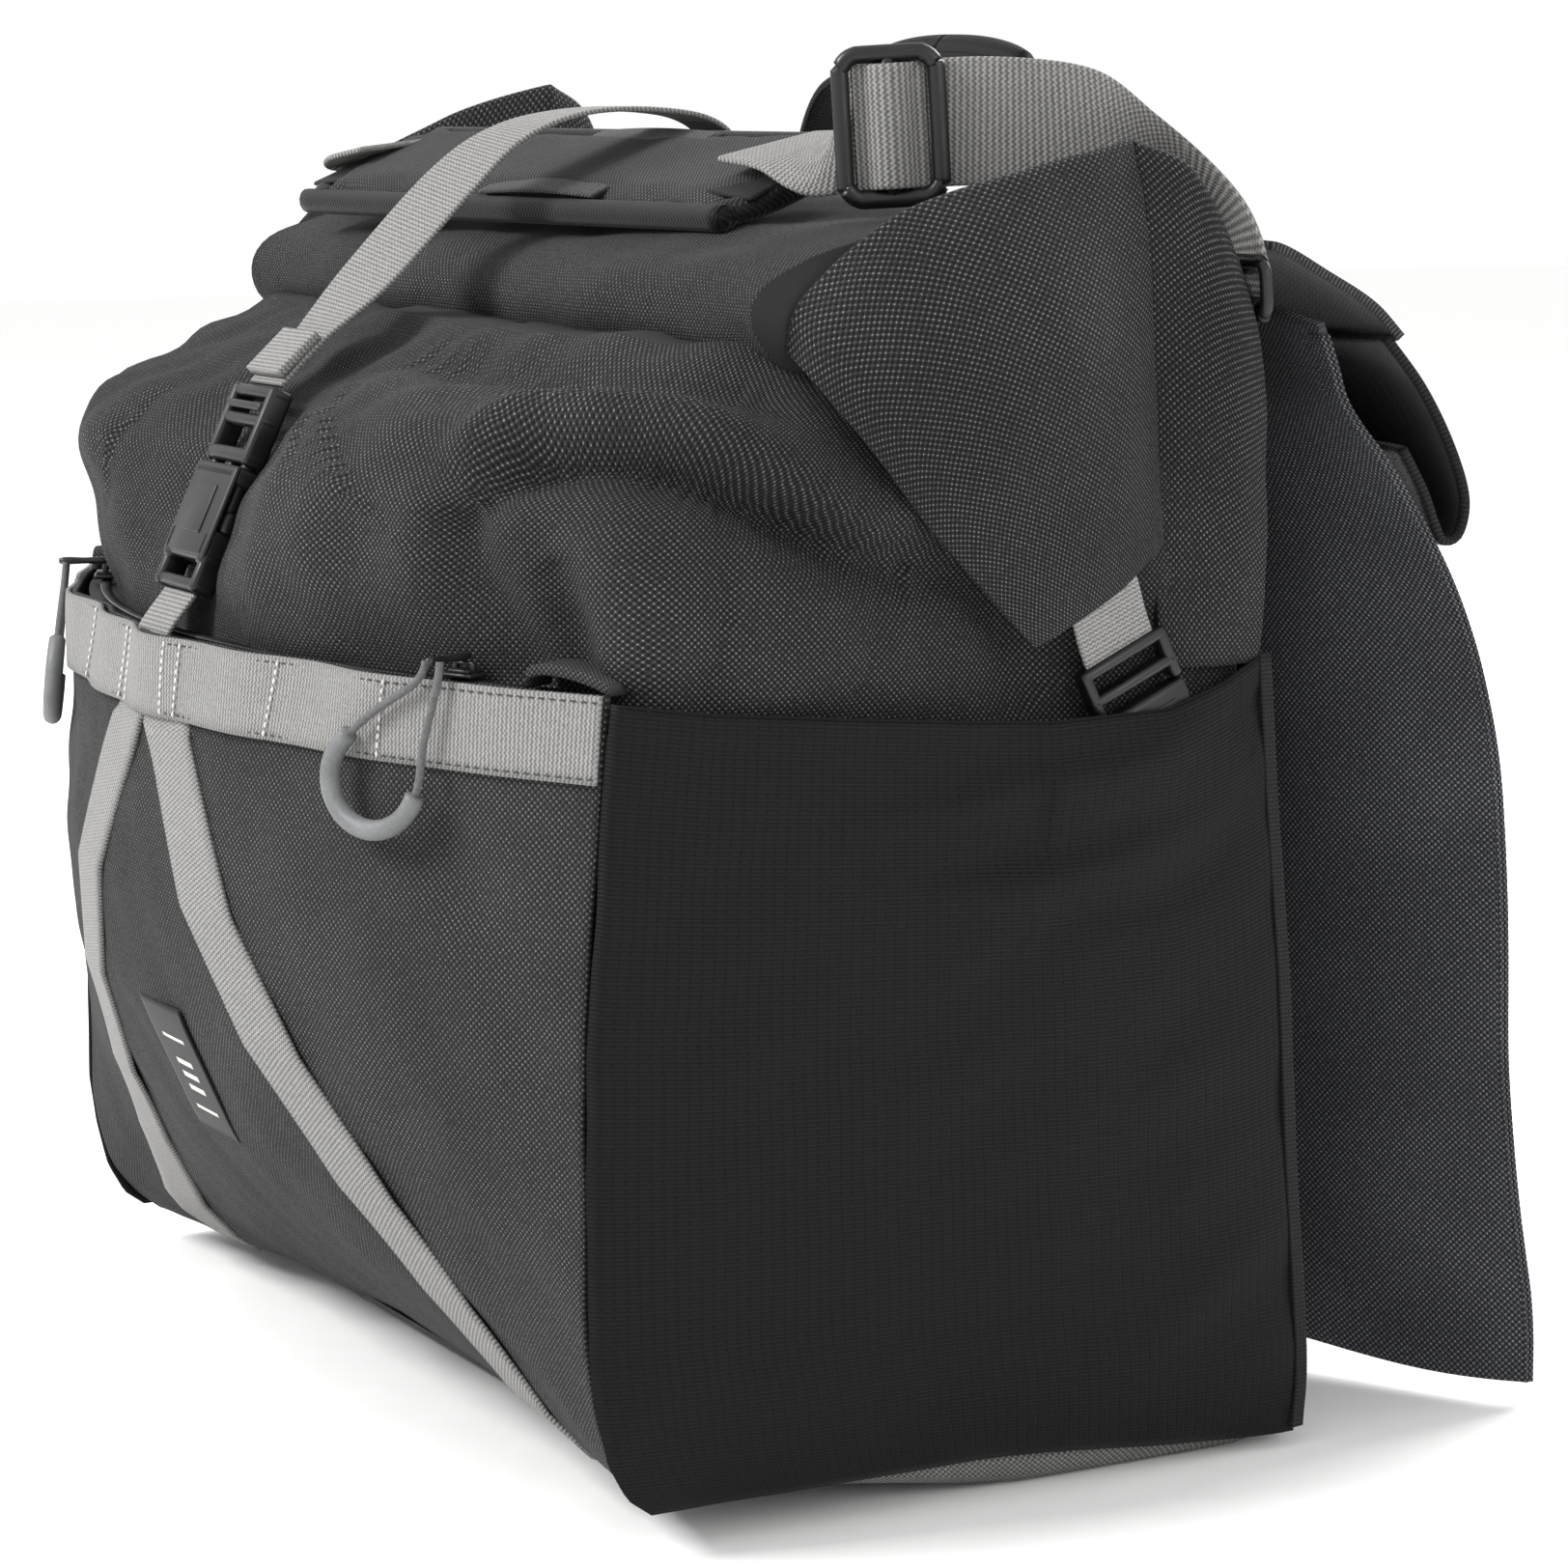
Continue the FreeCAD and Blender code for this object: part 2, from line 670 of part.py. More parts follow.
def make_roll():
    """The rolled collar with its two stiffener strips, and the folded ears at its ends."""
    low = FULL + CLEAR
    tall, depth = size("roll_tall"), size("roll_depth")
    body = new_body("roll")
    sketch = plane_sketch(body, "YZ_Plane", "roll_outline")
    centred_rectangle(sketch, "Sizes.roll_depth", "Sizes.roll_tall", "Sizes.roll_tall / 2")
    solid = pad(body, sketch, "2 * Sizes.roll_half_long")
    rounded = round_edges(body, solid, "Sizes.roll_tall * 0.46", runs_along(0))
    slot = plane_sketch(body, "YZ_Plane", "roll_strip_slots")
    for share in (0.36, 0.64):
        centred_rectangle(
            slot,
            "Sizes.strip_width + 2 * Sizes.clearance",
            "Sizes.strip_thick + 2 * Sizes.clearance",
            f"Sizes.roll_tall * {share}",
        )
    cut = pocket(body, slot, "2 * Sizes.roll_half_long + 2")
    cut.BaseFeature = rounded
    body.Tip = cut
    middle_y = depth / 2 - size("roll_front")
    body.Placement.Base = V(0, middle_y, low)
    keep(body, "roll_top")
    strips = []
    for share in (0.36, 0.64):
        z = low + tall * share - size("strip_thick") / 2
        corner = V(-size("roll_half_long"), middle_y - size("strip_width") / 2, z)
        strips.append(Part.makeBox(2 * size("roll_half_long"), size("strip_width"), size("strip_thick"), corner))
    shape_node("roll_stiffeners", Part.makeCompound(strips))


def make_ear(name, s, apex):
    """End of the roll, folded down over the side of the bag. Its outline is (y, z)."""
    outline = [
        (-46, FULL + 2),
        (-32, FULL + 30),
        (18, FULL + 50),
        (56, apex),
        (72, apex - 4),
        (96, FULL + 26),
        (92, FULL - 2),
        (72, FULL - 54),
        (24, FULL - 82),
    ]
    inner, outer = size("roll_half_long") + CLEAR, HALF + CLEAR + size("ear_thick")
    ear = prism_x(outline, inner, outer)
    side_wall = Part.makeBox(HALF + CLEAR, 4 * FRONT, FULL + CLEAR, V(0, -2 * FRONT, 0))
    ear = ear.cut(side_wall)
    if s < 0:
        ear = ear.mirror(V(0, 0, 0), V(1, 0, 0))
    shape_node(f"ear_{name}", ear)


# ---------------------------------------------------------------- side-release buckles


def female_half(label, placement):
    """Socket of a side-release buckle: hollow, windows in both sides, a bar for its webbing."""
    body = new_body(label)
    outline = plane_sketch(body, "XZ_Plane", f"{label}_outline")
    centred_rectangle(outline, "Sizes.buckle_width", "Sizes.buckle_long", "Sizes.buckle_long / 2")
    solid = pad(body, outline, "Sizes.buckle_thick")
    rounded = round_edges(body, solid, "3", runs_along(1))
    mouth = plane_sketch(body, "XZ_Plane", f"{label}_socket")
    centred_rectangle(
        mouth,
        "Sizes.buckle_width - 2 * Sizes.buckle_wall",
        "Sizes.prong_long + 2",
        "Sizes.buckle_long - Sizes.prong_long / 2",
    )
    socket = pocket(body, mouth, "Sizes.buckle_thick - 2 * Sizes.buckle_wall")
    socket.BaseFeature = rounded
    windows = plane_sketch(body, "YZ_Plane", f"{label}_windows")
    centred_rectangle(
        windows,
        "Sizes.buckle_thick - 3 * Sizes.buckle_wall",
        "Sizes.prong_long * 0.6",
        "Sizes.buckle_long - Sizes.prong_long * 0.62",
    )
    side = pocket(body, windows, "Sizes.buckle_width + 2")
    bar = plane_sketch(body, "XZ_Plane", f"{label}_bar")
    centred_rectangle(bar, "Sizes.web_width + 1", "Sizes.buckle_slot", "Sizes.buckle_bar + Sizes.buckle_slot / 2")
    body.Tip = pocket(body, bar, "Sizes.buckle_thick + 2")
    side.Label2 = "release windows"
    body.Placement = placement
    return keep(body, label)


def male_half(label, placement):
    """Plug of a side-release buckle: two prongs, a guide, and a ladder lock for its webbing."""
    body = new_body(label)
    frame = plane_sketch(body, "XZ_Plane", f"{label}_frame")
    centred_rectangle(
        frame, "Sizes.buckle_width", "Sizes.ladder_long", "Sizes.buckle_long + Sizes.run_clear + Sizes.ladder_long / 2"
    )
    solid = pad(body, frame, "Sizes.ladder_thick")
    rounded = round_edges(body, solid, "3", runs_along(1))
    slots = plane_sketch(body, "XZ_Plane", f"{label}_slots")
    foot = "Sizes.buckle_long + Sizes.run_clear + Sizes.ladder_long - Sizes.buckle_bar - Sizes.buckle_slot / 2"
    centred_rectangle(slots, "Sizes.web_width + 1", "Sizes.buckle_slot", foot)
    centred_rectangle(slots, "Sizes.web_width + 1", "Sizes.buckle_slot", f"{foot} - Sizes.buckle_slot - Sizes.buckle_bar")
    cut = pocket(body, slots, "Sizes.ladder_thick + 2")
    cut.BaseFeature = rounded
    prongs = plane_sketch(body, "XZ_Plane", f"{label}_prongs")
    reach = "(Sizes.prong_long - 2)"
    low = f"Sizes.buckle_long + Sizes.run_clear - {reach} / 2 + 0.5"
    centred_rectangle(prongs, "Sizes.prong_width", reach, low)
    pad(body, prongs, "Sizes.buckle_thick - 2 * Sizes.buckle_wall - 2 * Sizes.run_clear")
    doc.recompute()
    arms = plane_sketch(body, "XZ_Plane", f"{label}_arms")
    span = "(Sizes.buckle_width - 2 * Sizes.buckle_wall - 2 * Sizes.run_clear)"
    centred_rectangle(arms, span, reach, low)
    pad(body, arms, "Sizes.buckle_thick - 3 * Sizes.buckle_wall - Sizes.run_clear")
    gaps = plane_sketch(body, "XZ_Plane", f"{label}_arm_gaps")
    gap_centre = f"{low} - 2"
    centred_rectangle(gaps, f"{span} - 2 * Sizes.prong_width * 0.6", reach, gap_centre)
    opened = pocket(body, gaps, "Sizes.buckle_thick")
    doc.recompute()
    guide = plane_sketch(body, "XZ_Plane", f"{label}_guide")
    centred_rectangle(guide, "Sizes.prong_width", reach, low)
    body.Tip = pad(body, guide, "Sizes.buckle_thick - 2 * Sizes.buckle_wall - 2 * Sizes.run_clear")
    opened.Label2 = "space between the arms"
    body.Placement = placement
    return keep(body, label)


# ---------------------------------------------------------------- closure strap

BUCKLE_UP = V(0, 0.42, 0.907)
BUCKLE_OUT = V(0, -0.907, 0.42)


def make_closure():
    """Middle strap over the roll, its buckle, and the short strap that holds the buckle down."""
    width, web = size("web_width"), size("web_thick")
    foot = V(0, -FRONT + 8, FULL - 2 * size("shoulder_drop"))
    placement = frame_at(foot, BUCKLE_UP, BUCKLE_OUT)
    female_half("front_buckle_socket", placement)
    male_half("front_buckle_plug", placement)
    x = V(1, 0, 0)
    low = V(0, -FRONT - web, TOP + 0.6)
    near = foot - BUCKLE_UP * 0.6
    ribbon("buckle_anchor_strap", [(low, x, V(0, -1, 0)), (near, x, BUCKLE_OUT)], width, web)
    total = size("buckle_long") + size("run_clear") + size("ladder_long")
    exit_point = foot + BUCKLE_UP * (total + 1.0) + BUCKLE_OUT * 0.5
    m = V(0, 0.73, 0.683)
    m_out = V(0, -0.683, 0.73)
    lower_long, slack = 20.0, 5.5
    lower = [(exit_point, x, m_out), (exit_point + m * lower_long, x, m_out)]
    ribbon("closure_strap_lower", lower, width, web)
    tail_foot = exit_point + m * 2.0 + m_out * (1.5 * web + CLEAR)
    tail = [(tail_foot, x, m_out), (tail_foot + m * 17.0, x, m_out)]
    ribbon("strap_end_tab", tail, width + 1.0, 2 * web)
    start = exit_point + m * (lower_long + slack)
    roll_high = FULL + CLEAR + size("roll_tall")
    over = [
        (start, x, m_out),
        (V(0, -66, roll_high + 5), x, V(0, -0.66, 0.75)),
        (V(0, -50, roll_high + 16.5), x, V(0, -0.5, 0.86)),
        (V(0, -20, roll_high + 28), x, V(0, -0.1, 1)),
        (V(0, 8, roll_high + 29.5), x, V(0, 0.05, 1)),
        (V(0, 27, roll_high + 26), x, V(0, 0.5, 0.86)),
        (V(0, 40, roll_high + 10), x, V(0, 0.5, 0.86)),
        (V(0, 60, roll_high + 1.2), x, V(0, 0.05, 1)),
    ]
    ribbon("closure_strap", over, width, web)


# ---------------------------------------------------------------- ends of the roll


def make_end_buckle(name, s):
    """Webbing tab on the ear's lower edge with one half of the roll's own buckle."""
    down = V(0, 0.42, -0.907)
    across = V(0, 0.907, 0.42)
    x_mid = HALF + CLEAR + size("mesh_gap") * 0.48
    root = V(x_mid, 47.75, FULL - 70.05)
    normal = V(1, 0, 0)
    ribbon(f"ear_webbing_{name}", [(root, across, normal), (root + down * 15, across, normal)], 25.0, 1.6, s < 0)
    head = root + down * 16.0
    origin = V(s * head.x, head.y, head.z)
    scale_down = frame_at(origin, down, V(s, 0, 0))
    return origin, scale_down, across


def end_frame(label, placement, long_expr):
    """The end buckle's tri-bar frame and its tongue, thin enough for the side pocket."""
    body = new_body(label)
    outline = plane_sketch(body, "XZ_Plane", f"{label}_outline")
    centred_rectangle(outline, "Sizes.buckle_width - 1", long_expr, f"({long_expr}) / 2")
    solid = pad(body, outline, "Sizes.ladder_thick - 1.4")
    rounded = round_edges(body, solid, "3", runs_along(1))
    slots = plane_sketch(body, "XZ_Plane", f"{label}_slots")
    centred_rectangle(slots, "Sizes.web_width + 1", "Sizes.buckle_slot", "Sizes.buckle_bar + Sizes.buckle_slot / 2")
    centred_rectangle(slots, "Sizes.web_width + 1", "Sizes.buckle_slot", "2 * Sizes.buckle_bar + Sizes.buckle_slot * 1.5")
    cut = pocket(body, slots, "Sizes.ladder_thick + 2")
    cut.BaseFeature = rounded
    body.Tip = cut
    body.Placement = placement
    return keep(body, label)


# ---------------------------------------------------------------- shoulder strap

ROLL_HIGH = FULL + CLEAR + size("roll_tall")
GLIDE_AT = V(141, 16, ROLL_HIGH + 25.1)
GLIDE_ALONG = V(0.5, 0.863, 0.06)
GLIDE_OUT = V(0.866, -0.5, 0.0)
RING_X, RING_Z = 186.0, FULL + 20.0


def make_sling():
    """Shoulder strap lying on the roll: pad, webbing on both sides, three-bar slide and rings."""
    wide, thick = size("sling_width"), size("sling_thick")
    up, out = V(0, 0, 1), V(GLIDE_OUT)
    flat_across = V(-0.22, 0.9, 0.42)
    glide = V(GLIDE_AT)
    along = V(GLIDE_ALONG).normalize()
    pad_dir = V(0.992, 0.125, 0.0).normalize()
    pad_mid = V(-20, -9, ROLL_HIGH + size("pad_thick") / 2 + 7.5)
    pad_up = V(0.03, -0.2, 0.98)
    pad_across = pad_up.cross(pad_dir).normalize()
    half = size("pad_long") / 2
    place = frame_at(pad_mid - pad_dir * half, pad_dir, pad_up)
    plate(
        "shoulder_pad",
        "Sizes.pad_width",
        "Sizes.pad_long",
        "Sizes.pad_thick",
        "Sizes.pad_long / 2",
        "22",
        place,
    )
    right = [
        (pad_mid + pad_dir * (half + 1.0) + pad_up * 2, pad_across, pad_up),
        (pad_mid + pad_dir * (half + 9) + V(1, 2, 6), V(-0.2, 0.6, 0.77), V(0.3, -0.8, 0.5)),
        (glide - along * 22, up, out),
        (glide + along * 30, up, out),
        (glide + along * 62 + V(0, 0, -3), V(0, -0.12, 1), out),
        (V(180, 88, ROLL_HIGH + 11.6), V(0.45, -0.5, 0.74), V(0.8, 0.2, -0.4)),
        *strap_end(1),
    ]
    ribbon("sling_webbing_right", right, wide, thick)
    left = [
        (pad_mid - pad_dir * (half + 2.0) + pad_up * 2, pad_across, pad_up),
        (V(-164, -22, ROLL_HIGH + 10), V(0.5, -0.85, -0.1), V(0, -0.1, 1)),
        (V(-167, -4, ROLL_HIGH + 8), V(0.9, -0.42, -0.05), V(0, -0.1, 1)),
        (V(-168, 22, ROLL_HIGH + 4), V(1, 0, 0), V(0, 0, 1)),
        (V(-168, 62, ROLL_HIGH + 3), V(1, 0, 0), V(0, 0, 1)),
        (V(-168, 84, ROLL_HIGH + 4.5), V(1, 0, 0), V(0, 0.2, 1)),
        (V(-178, 101, ROLL_HIGH + 3), V(1, 0.05, 0.05), V(0, 0.7, 0.7)),
        *strap_end(-1),
    ]
    ribbon("sling_webbing_left", left, wide, thick)
    for name, s in (("right", 1), ("left", -1)):
        make_ring(name, s)
    make_glide(glide, along, out)


def ring_y(z):
    """Middle of a strap ring's thickness at height z, just outside the back panel."""
    return back_y(z) + CLEAR + size("back_panel_thick") / math.cos(LEAN) + 3.2


def strap_end(s):
    """Last stations of a shoulder strap: down behind its ring, on the ring's outer side."""
    y = ring_y(RING_Z) + 0.4 * size("ring_wire") + CLEAR + size("sling_thick") / 2
    normal = V(0, 1, 0.08)
    return [(V(s * RING_X, y, RING_Z + z), V(1, 0, 0), normal) for z in (18.0, -3.0)]


def make_ring(name, s):
    """D-ring and its webbing tab on the back panel."""
    wide, wire = size("sling_width"), size("ring_wire")
    body = new_body(f"ring_{name}")
    outline = plane_sketch(body, "XZ_Plane", f"ring_{name}_outline")
    centred_rectangle(outline, "Sizes.sling_width + 2 + 2 * Sizes.ring_wire", "12 + 2 * Sizes.ring_wire")
    solid = pad(body, outline, "Sizes.ring_wire * 0.8")
    rounded = round_edges(body, solid, "Sizes.ring_wire", runs_along(1))
    hole = plane_sketch(body, "XZ_Plane", f"ring_{name}_hole")
    centred_rectangle(hole, "Sizes.sling_width + 2", "12")
    cut = pocket(body, hole, "Sizes.ring_wire * 2")
    cut.BaseFeature = rounded
    body.Tip = cut
    y, lean = ring_y(RING_Z), FreeCAD.Rotation(V(1, 0, 0), size("back_lean"))
    body.Placement = FreeCAD.Placement(V(s * RING_X, y, RING_Z), lean)
    keep(body, f"strap_ring_{name}")
    across, normal = V(1, 0, 0), V(0, 1, 0.08)
    low_edge = RING_Z - 6.0 - wire - CLEAR
    stations = [(V(RING_X, ring_y(z) - 2.0, z), across, normal) for z in (RING_Z - 44.0, low_edge)]
    ribbon(f"ring_tab_{name}", stations, wide - 2, size("sling_thick"), s < 0)


def make_glide(centre, along, out):
    """Three-bar slide in front of the webbing, with the loop that passes over its middle bar."""
    thick = size("glide_thick")
    body = new_body("glide")
    outline = plane_sketch(body, "XZ_Plane", "glide_outline")
    centred_rectangle(outline, "Sizes.glide_tall", "Sizes.glide_long")
    solid = pad(body, outline, "Sizes.glide_thick")
    rounded = round_edges(body, solid, "7", runs_along(1))
    slots = plane_sketch(body, "XZ_Plane", "glide_slots")
    slot = "(Sizes.glide_long - 2 * Sizes.glide_rim - Sizes.glide_bar) / 2"
    middle = f"(Sizes.glide_bar + {slot}) / 2"
    for sign in ("", "-"):
        centred_rectangle(slots, "Sizes.sling_width + 1", slot, f"{sign}({middle})")
    cut = pocket(body, slots, "Sizes.glide_thick + 2")
    cut.BaseFeature = rounded
    body.Tip = cut
    place = centre + out * (size("sling_thick") / 2 + CLEAR + thick / 2)
    body.Placement = frame_at(place, along, out)
    keep(body, "strap_slide")
    high = thick / 2 + CLEAR + 1.2
    reach = size("glide_bar") / 2 + 3.4
    arch = [(-reach, -thick / 2 + 0.9), (-reach + 1.6, high - 1), (0, high + 0.6), (reach - 1.6, high - 1)]
    arch.append((reach, -thick / 2 + 0.9))
    stations = []
    for i, (u, v) in enumerate(arch):
        lean = (-1.0, -0.5, 0.0, 0.5, 1.0)[i]
        stations.append((place + along * u + out * v, V(0, 0, 1), out + along * lean))
    ribbon("slide_loop", stations, size("sling_width") - 1, size("sling_thick") * 0.8)


# ---------------------------------------------------------------- back


YOKE_ROOT = V(0, 100, 371)


def make_handle():
    """Grab handle standing on the flap's yoke: a padded grip on a webbing arch."""
    half, rise, y = size("handle_half"), size("handle_rise"), size("handle_back")
    foot = YOKE_ROOT.z + size("yoke_thick") / 2 + CLEAR + 0.3
    across = V(0, 1, 0)
    wide, thick = size("handle_width"), size("handle_thick")
    hinge = V(half, y, foot + wide / 2)
    leg = [
        (hinge, across, V(1, 0, 0)),
        (V(half - 2, y, foot + rise * 0.5), across, V(1, 0, 0.3)),
        (V(half - 16, y, foot + rise * 0.82), across, V(0.65, 0, 0.76)),
        (V(half - 34, y, foot + rise * 0.955), across, V(0.22, 0, 0.97)),
    ]
    for name, s in (("right", 1), ("left", -1)):
        end = V(s * half - thick / 2, y, hinge.z)
        toe = Part.makeCylinder(wide / 2, thick, end, V(1, 0, 0))
        solid = ribbon_solid(leg, wide, thick, s < 0).fuse(toe).removeSplitter()
        shape_node(f"handle_web_{name}", solid)
    grip = []
    reach = half - 35
    for share in (-1.0, -0.5, 0.0, 0.5, 1.0):
        lift = foot + rise * (1.0 - 0.045 * share**2)
        grip.append((V(reach * share, y, lift), across, V(0.2 * share, 0, 1)))
    ribbon("handle_grip", grip, size("handle_width") + 3, size("handle_grip_thick"))


def make_flap():
    """Rear flap: a cloth yoke that arches out from the top edge, its dark facing, and the flap."""
    x = V(1, 0, 0)
    upper = [
        (YOKE_ROOT, x, V(0, 0.05, 1)),
        (YOKE_ROOT + V(0, 14, 0.2), x, V(0, 0.05, 1)),
        (YOKE_ROOT + V(0, 31, 0.5), x, V(0, 0.2, 1)),
        (YOKE_ROOT + V(0, 60, -11), x, V(0, 0.5, 0.87)),
        (YOKE_ROOT + V(0, 83, -27), x, V(0, 0.62, 0.78)),
    ]
    narrow, wide = 2 * size("yoke_half"), 2 * size("yoke_spread")
    ribbon("flap_yoke", upper, [narrow, narrow, wide, wide, wide], size("yoke_thick"))
    lower = [
        (V(0, 183.5, 343.4), x, V(0, 0.64, 0.76)),
        (V(0, 203, 325), x, V(0, 0.8, 0.6)),
        (V(0, 214, 305), x, V(0, 0.95, 0.3)),
        (V(0, 217.5, 285), x, V(0, 1, 0)),
        (V(0, 212, 276), x, V(0, 0.5, -0.86)),
        (V(0, 203, 279), x, V(0, -0.6, -0.8)),
        (V(0, 195, 291), x, V(0, -0.9, -0.42)),
    ]
    ribbon("yoke_facing", lower, wide, size("yoke_thick"))
    # (height, y at the side hems, y in the middle)
    levels = [(367, 128, 124), (320, 148, 134), (280, 169, 139), (215, 189, 143), (110, 202, 147)]
    levels.append((size("flap_low"), 217, 152))
    half, thick = size("flap_half"), size("flap_thick")
    wires = []
    for z, side, middle in levels:
        arcs = []
        for off in (0.0, thick):
            p = [V(half, side + off, z), V(0, middle + off, z), V(-half, side + off, z)]
            arcs.append((Part.Arc(*p).toShape(), p))
        (inner, a), (outer, b) = arcs
        ends = [Part.LineSegment(a[i], b[i]).toShape() for i in (0, 2)]
        wires.append(Part.Wire(Part.__sortEdges__([inner, ends[1], outer, ends[0]])))
    flap = Part.makeLoft(wires, True, True)
    hem_width = 6.0
    side_boxes = [
        Part.makeBox(hem_width, 400, 400, V(s * (half - hem_width / 2) - hem_width / 2, 0, 0)) for s in (-1, 1)
    ]
    hems = [flap.common(b) for b in side_boxes]
    for b in side_boxes:
        flap = flap.cut(b)
    shape_node("rear_flap", flap)
    shape_node("flap_hems", Part.makeCompound([s for h in hems for s in h.Solids]))


# ---------------------------------------------------------------- build

make_shell()
make_boards()
mouth_z = make_front_pocket()
for side_name, side in (("right", 1), ("left", -1)):
    make_garage(side_name, side, mouth_z)
    make_pull(side_name, side, mouth_z)
    make_mesh_pocket(side_name, side)
make_roll()
make_ear("right", 1, FULL + 62)
make_ear("left", -1, FULL + 80)
make_closure()
for side_name, side in (("right", 1), ("left", -1)):
    pivot, end_place, end_axis = make_end_buckle(side_name, side)
    long_expr = "Sizes.buckle_long" if side > 0 else "Sizes.buckle_long - 4"
    end_frame(f"end_buckle_{side_name}", end_place, long_expr)
    print(f"end buckle {side_name}: pivot {pivot}")
make_sling()
make_handle()
make_flap()
doc.recompute()

problems = [o.Name for o in doc.Objects if any(s in ("Invalid", "Error") for s in o.State)]
for node in NODES:
    if node.Shape.isNull() or not node.Shape.isValid() or not node.Shape.Solids:
        problems.append(node.Label)
    elif node.Shape.Volume <= 0:
        problems.append(f"{node.Label} volume {node.Shape.Volume:.1f}")
if problems:
    raise SystemExit(f"failed features: {problems}")

os.makedirs("parts", exist_ok=True)
for old in os.listdir("parts"):
    os.remove(os.path.join("parts", old))
for node in NODES:
    node.Shape.exportStep(os.path.join("parts", f"{node.Label}.step"))
print(f"{len(NODES)} nodes; zip centre y {CENTRE_Y:.2f} radius {zip_radius():.2f}, mouth z {mouth_z:.2f}")
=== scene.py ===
"""Roll-top luggage bag: cloth, webbing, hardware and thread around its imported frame.

Shapes are worked out in millimetres and stored in metres. X is the bag's width, -Y its front, +Z up.
"""

import math

import bmesh
import bpy
import numpy as np
from mathutils import Matrix, Vector


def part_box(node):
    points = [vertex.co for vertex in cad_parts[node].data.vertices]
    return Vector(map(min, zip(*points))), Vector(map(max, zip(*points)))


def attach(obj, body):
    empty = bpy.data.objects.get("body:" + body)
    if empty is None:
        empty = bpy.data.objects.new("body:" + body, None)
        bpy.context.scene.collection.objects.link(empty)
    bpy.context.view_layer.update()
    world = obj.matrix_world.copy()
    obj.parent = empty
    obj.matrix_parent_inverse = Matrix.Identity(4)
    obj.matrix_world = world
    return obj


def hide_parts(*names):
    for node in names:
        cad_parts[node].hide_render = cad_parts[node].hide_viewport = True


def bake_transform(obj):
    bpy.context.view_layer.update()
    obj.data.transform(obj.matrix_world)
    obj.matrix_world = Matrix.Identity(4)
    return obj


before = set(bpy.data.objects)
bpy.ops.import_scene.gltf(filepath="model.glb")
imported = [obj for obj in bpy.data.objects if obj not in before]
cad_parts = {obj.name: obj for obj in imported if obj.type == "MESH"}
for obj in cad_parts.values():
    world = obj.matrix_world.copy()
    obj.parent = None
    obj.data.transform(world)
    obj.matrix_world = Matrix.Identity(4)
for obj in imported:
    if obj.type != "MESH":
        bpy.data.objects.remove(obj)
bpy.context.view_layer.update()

bl_info = {
    "name": "Roll-top luggage bag",
    "version": (1, 0, 0),
    "blender": (4, 5, 0),
    "location": "3D View > Sidebar > Bag",
    "description": "Builds the cloth, webbing and hardware of a roll-top luggage bag",
    "category": "Object",
}

MM = 0.001
SIDES = (("right", 1), ("left", -1))

# Outline of the bag's cloth at each height: z, half width, corner seam, middle, swell between them.
BODY_LEVELS = (
    (0, 190, 52, 42, 0),
    (14, 198, 76, 60, 0),
    (30, 201, 88, 82, 0),
    (60, 203, 96, 108, 0),
    (90, 203, 100, 132, 0),
    (130, 203, 101, 151, 0),
    (170, 203, 100, 155, 0),
    (235, 203, 95, 151, 0),
    (252, 203, 95, 151, 3),
    (275, 204, 95, 145, 15),
    (300, 204, 90, 131, 26),
    (320, 200, 79, 116, 25),
    (334, 194, 64, 94, 17),
    (345, 186, 52, 76, 8),
)
# The same for the outer face of the front pocket: z, half width, corner seam, middle.
POCKET_LEVELS = (
    (2, 198, 76, 58),
    (14, 201, 99, 76),
    (30, 203, 111, 98),
    (46, 203, 115, 113),
    (60, 203, 117, 126),
    (90, 203, 118, 148),
    (130, 203, 118, 166),
    (170, 203, 117, 173),
    (210, 203, 113, 169),
    (250, 203, 110, 165),
)
# Height and y of the back wall, of the side pocket's rear edge and of its front edge.
BACK_LINE = ((0, 120), (30, 124), (130, 116), (250, 106.5), (345, 99))
MESH_FRONT = (
    (12, -98), (18, -106), (29, -112), (46, -116), (62, -118), (90, -118), (150, -118), (202, -114), (249, -110),
)  # fmt: skip
MESH_BACK = ((6, 125), (30, 126), (90, 121), (150, 117), (200, 112), (249, 108))
MESH_TOP = ((-110, 248), (-80, 244), (-46, 241), (0, 237), (28, 235), (68, 236), (90, 242), (108, 249))

# ------------------------------------------------------------------ numbers and curves


def linear(code):
    """sRGB hex code to the linear colour that shaders use."""
    parts = [int(code[i : i + 2], 16) / 255 for i in (1, 3, 5)]
    return [c / 12.92 if c <= 0.04045 else ((c + 0.055) / 1.055) ** 2.4 for c in parts] + [1.0]


def between(table, at):
    """Values of a table at a place along its first column, one array per further column."""
    table = np.array(table, float)
    return [np.interp(at, table[:, 0], table[:, k]) for k in range(1, table.shape[1])]


def step(low, high, value):
    t = np.clip((value - low) / (high - low), 0, 1)
    return t * t * (3 - 2 * t)


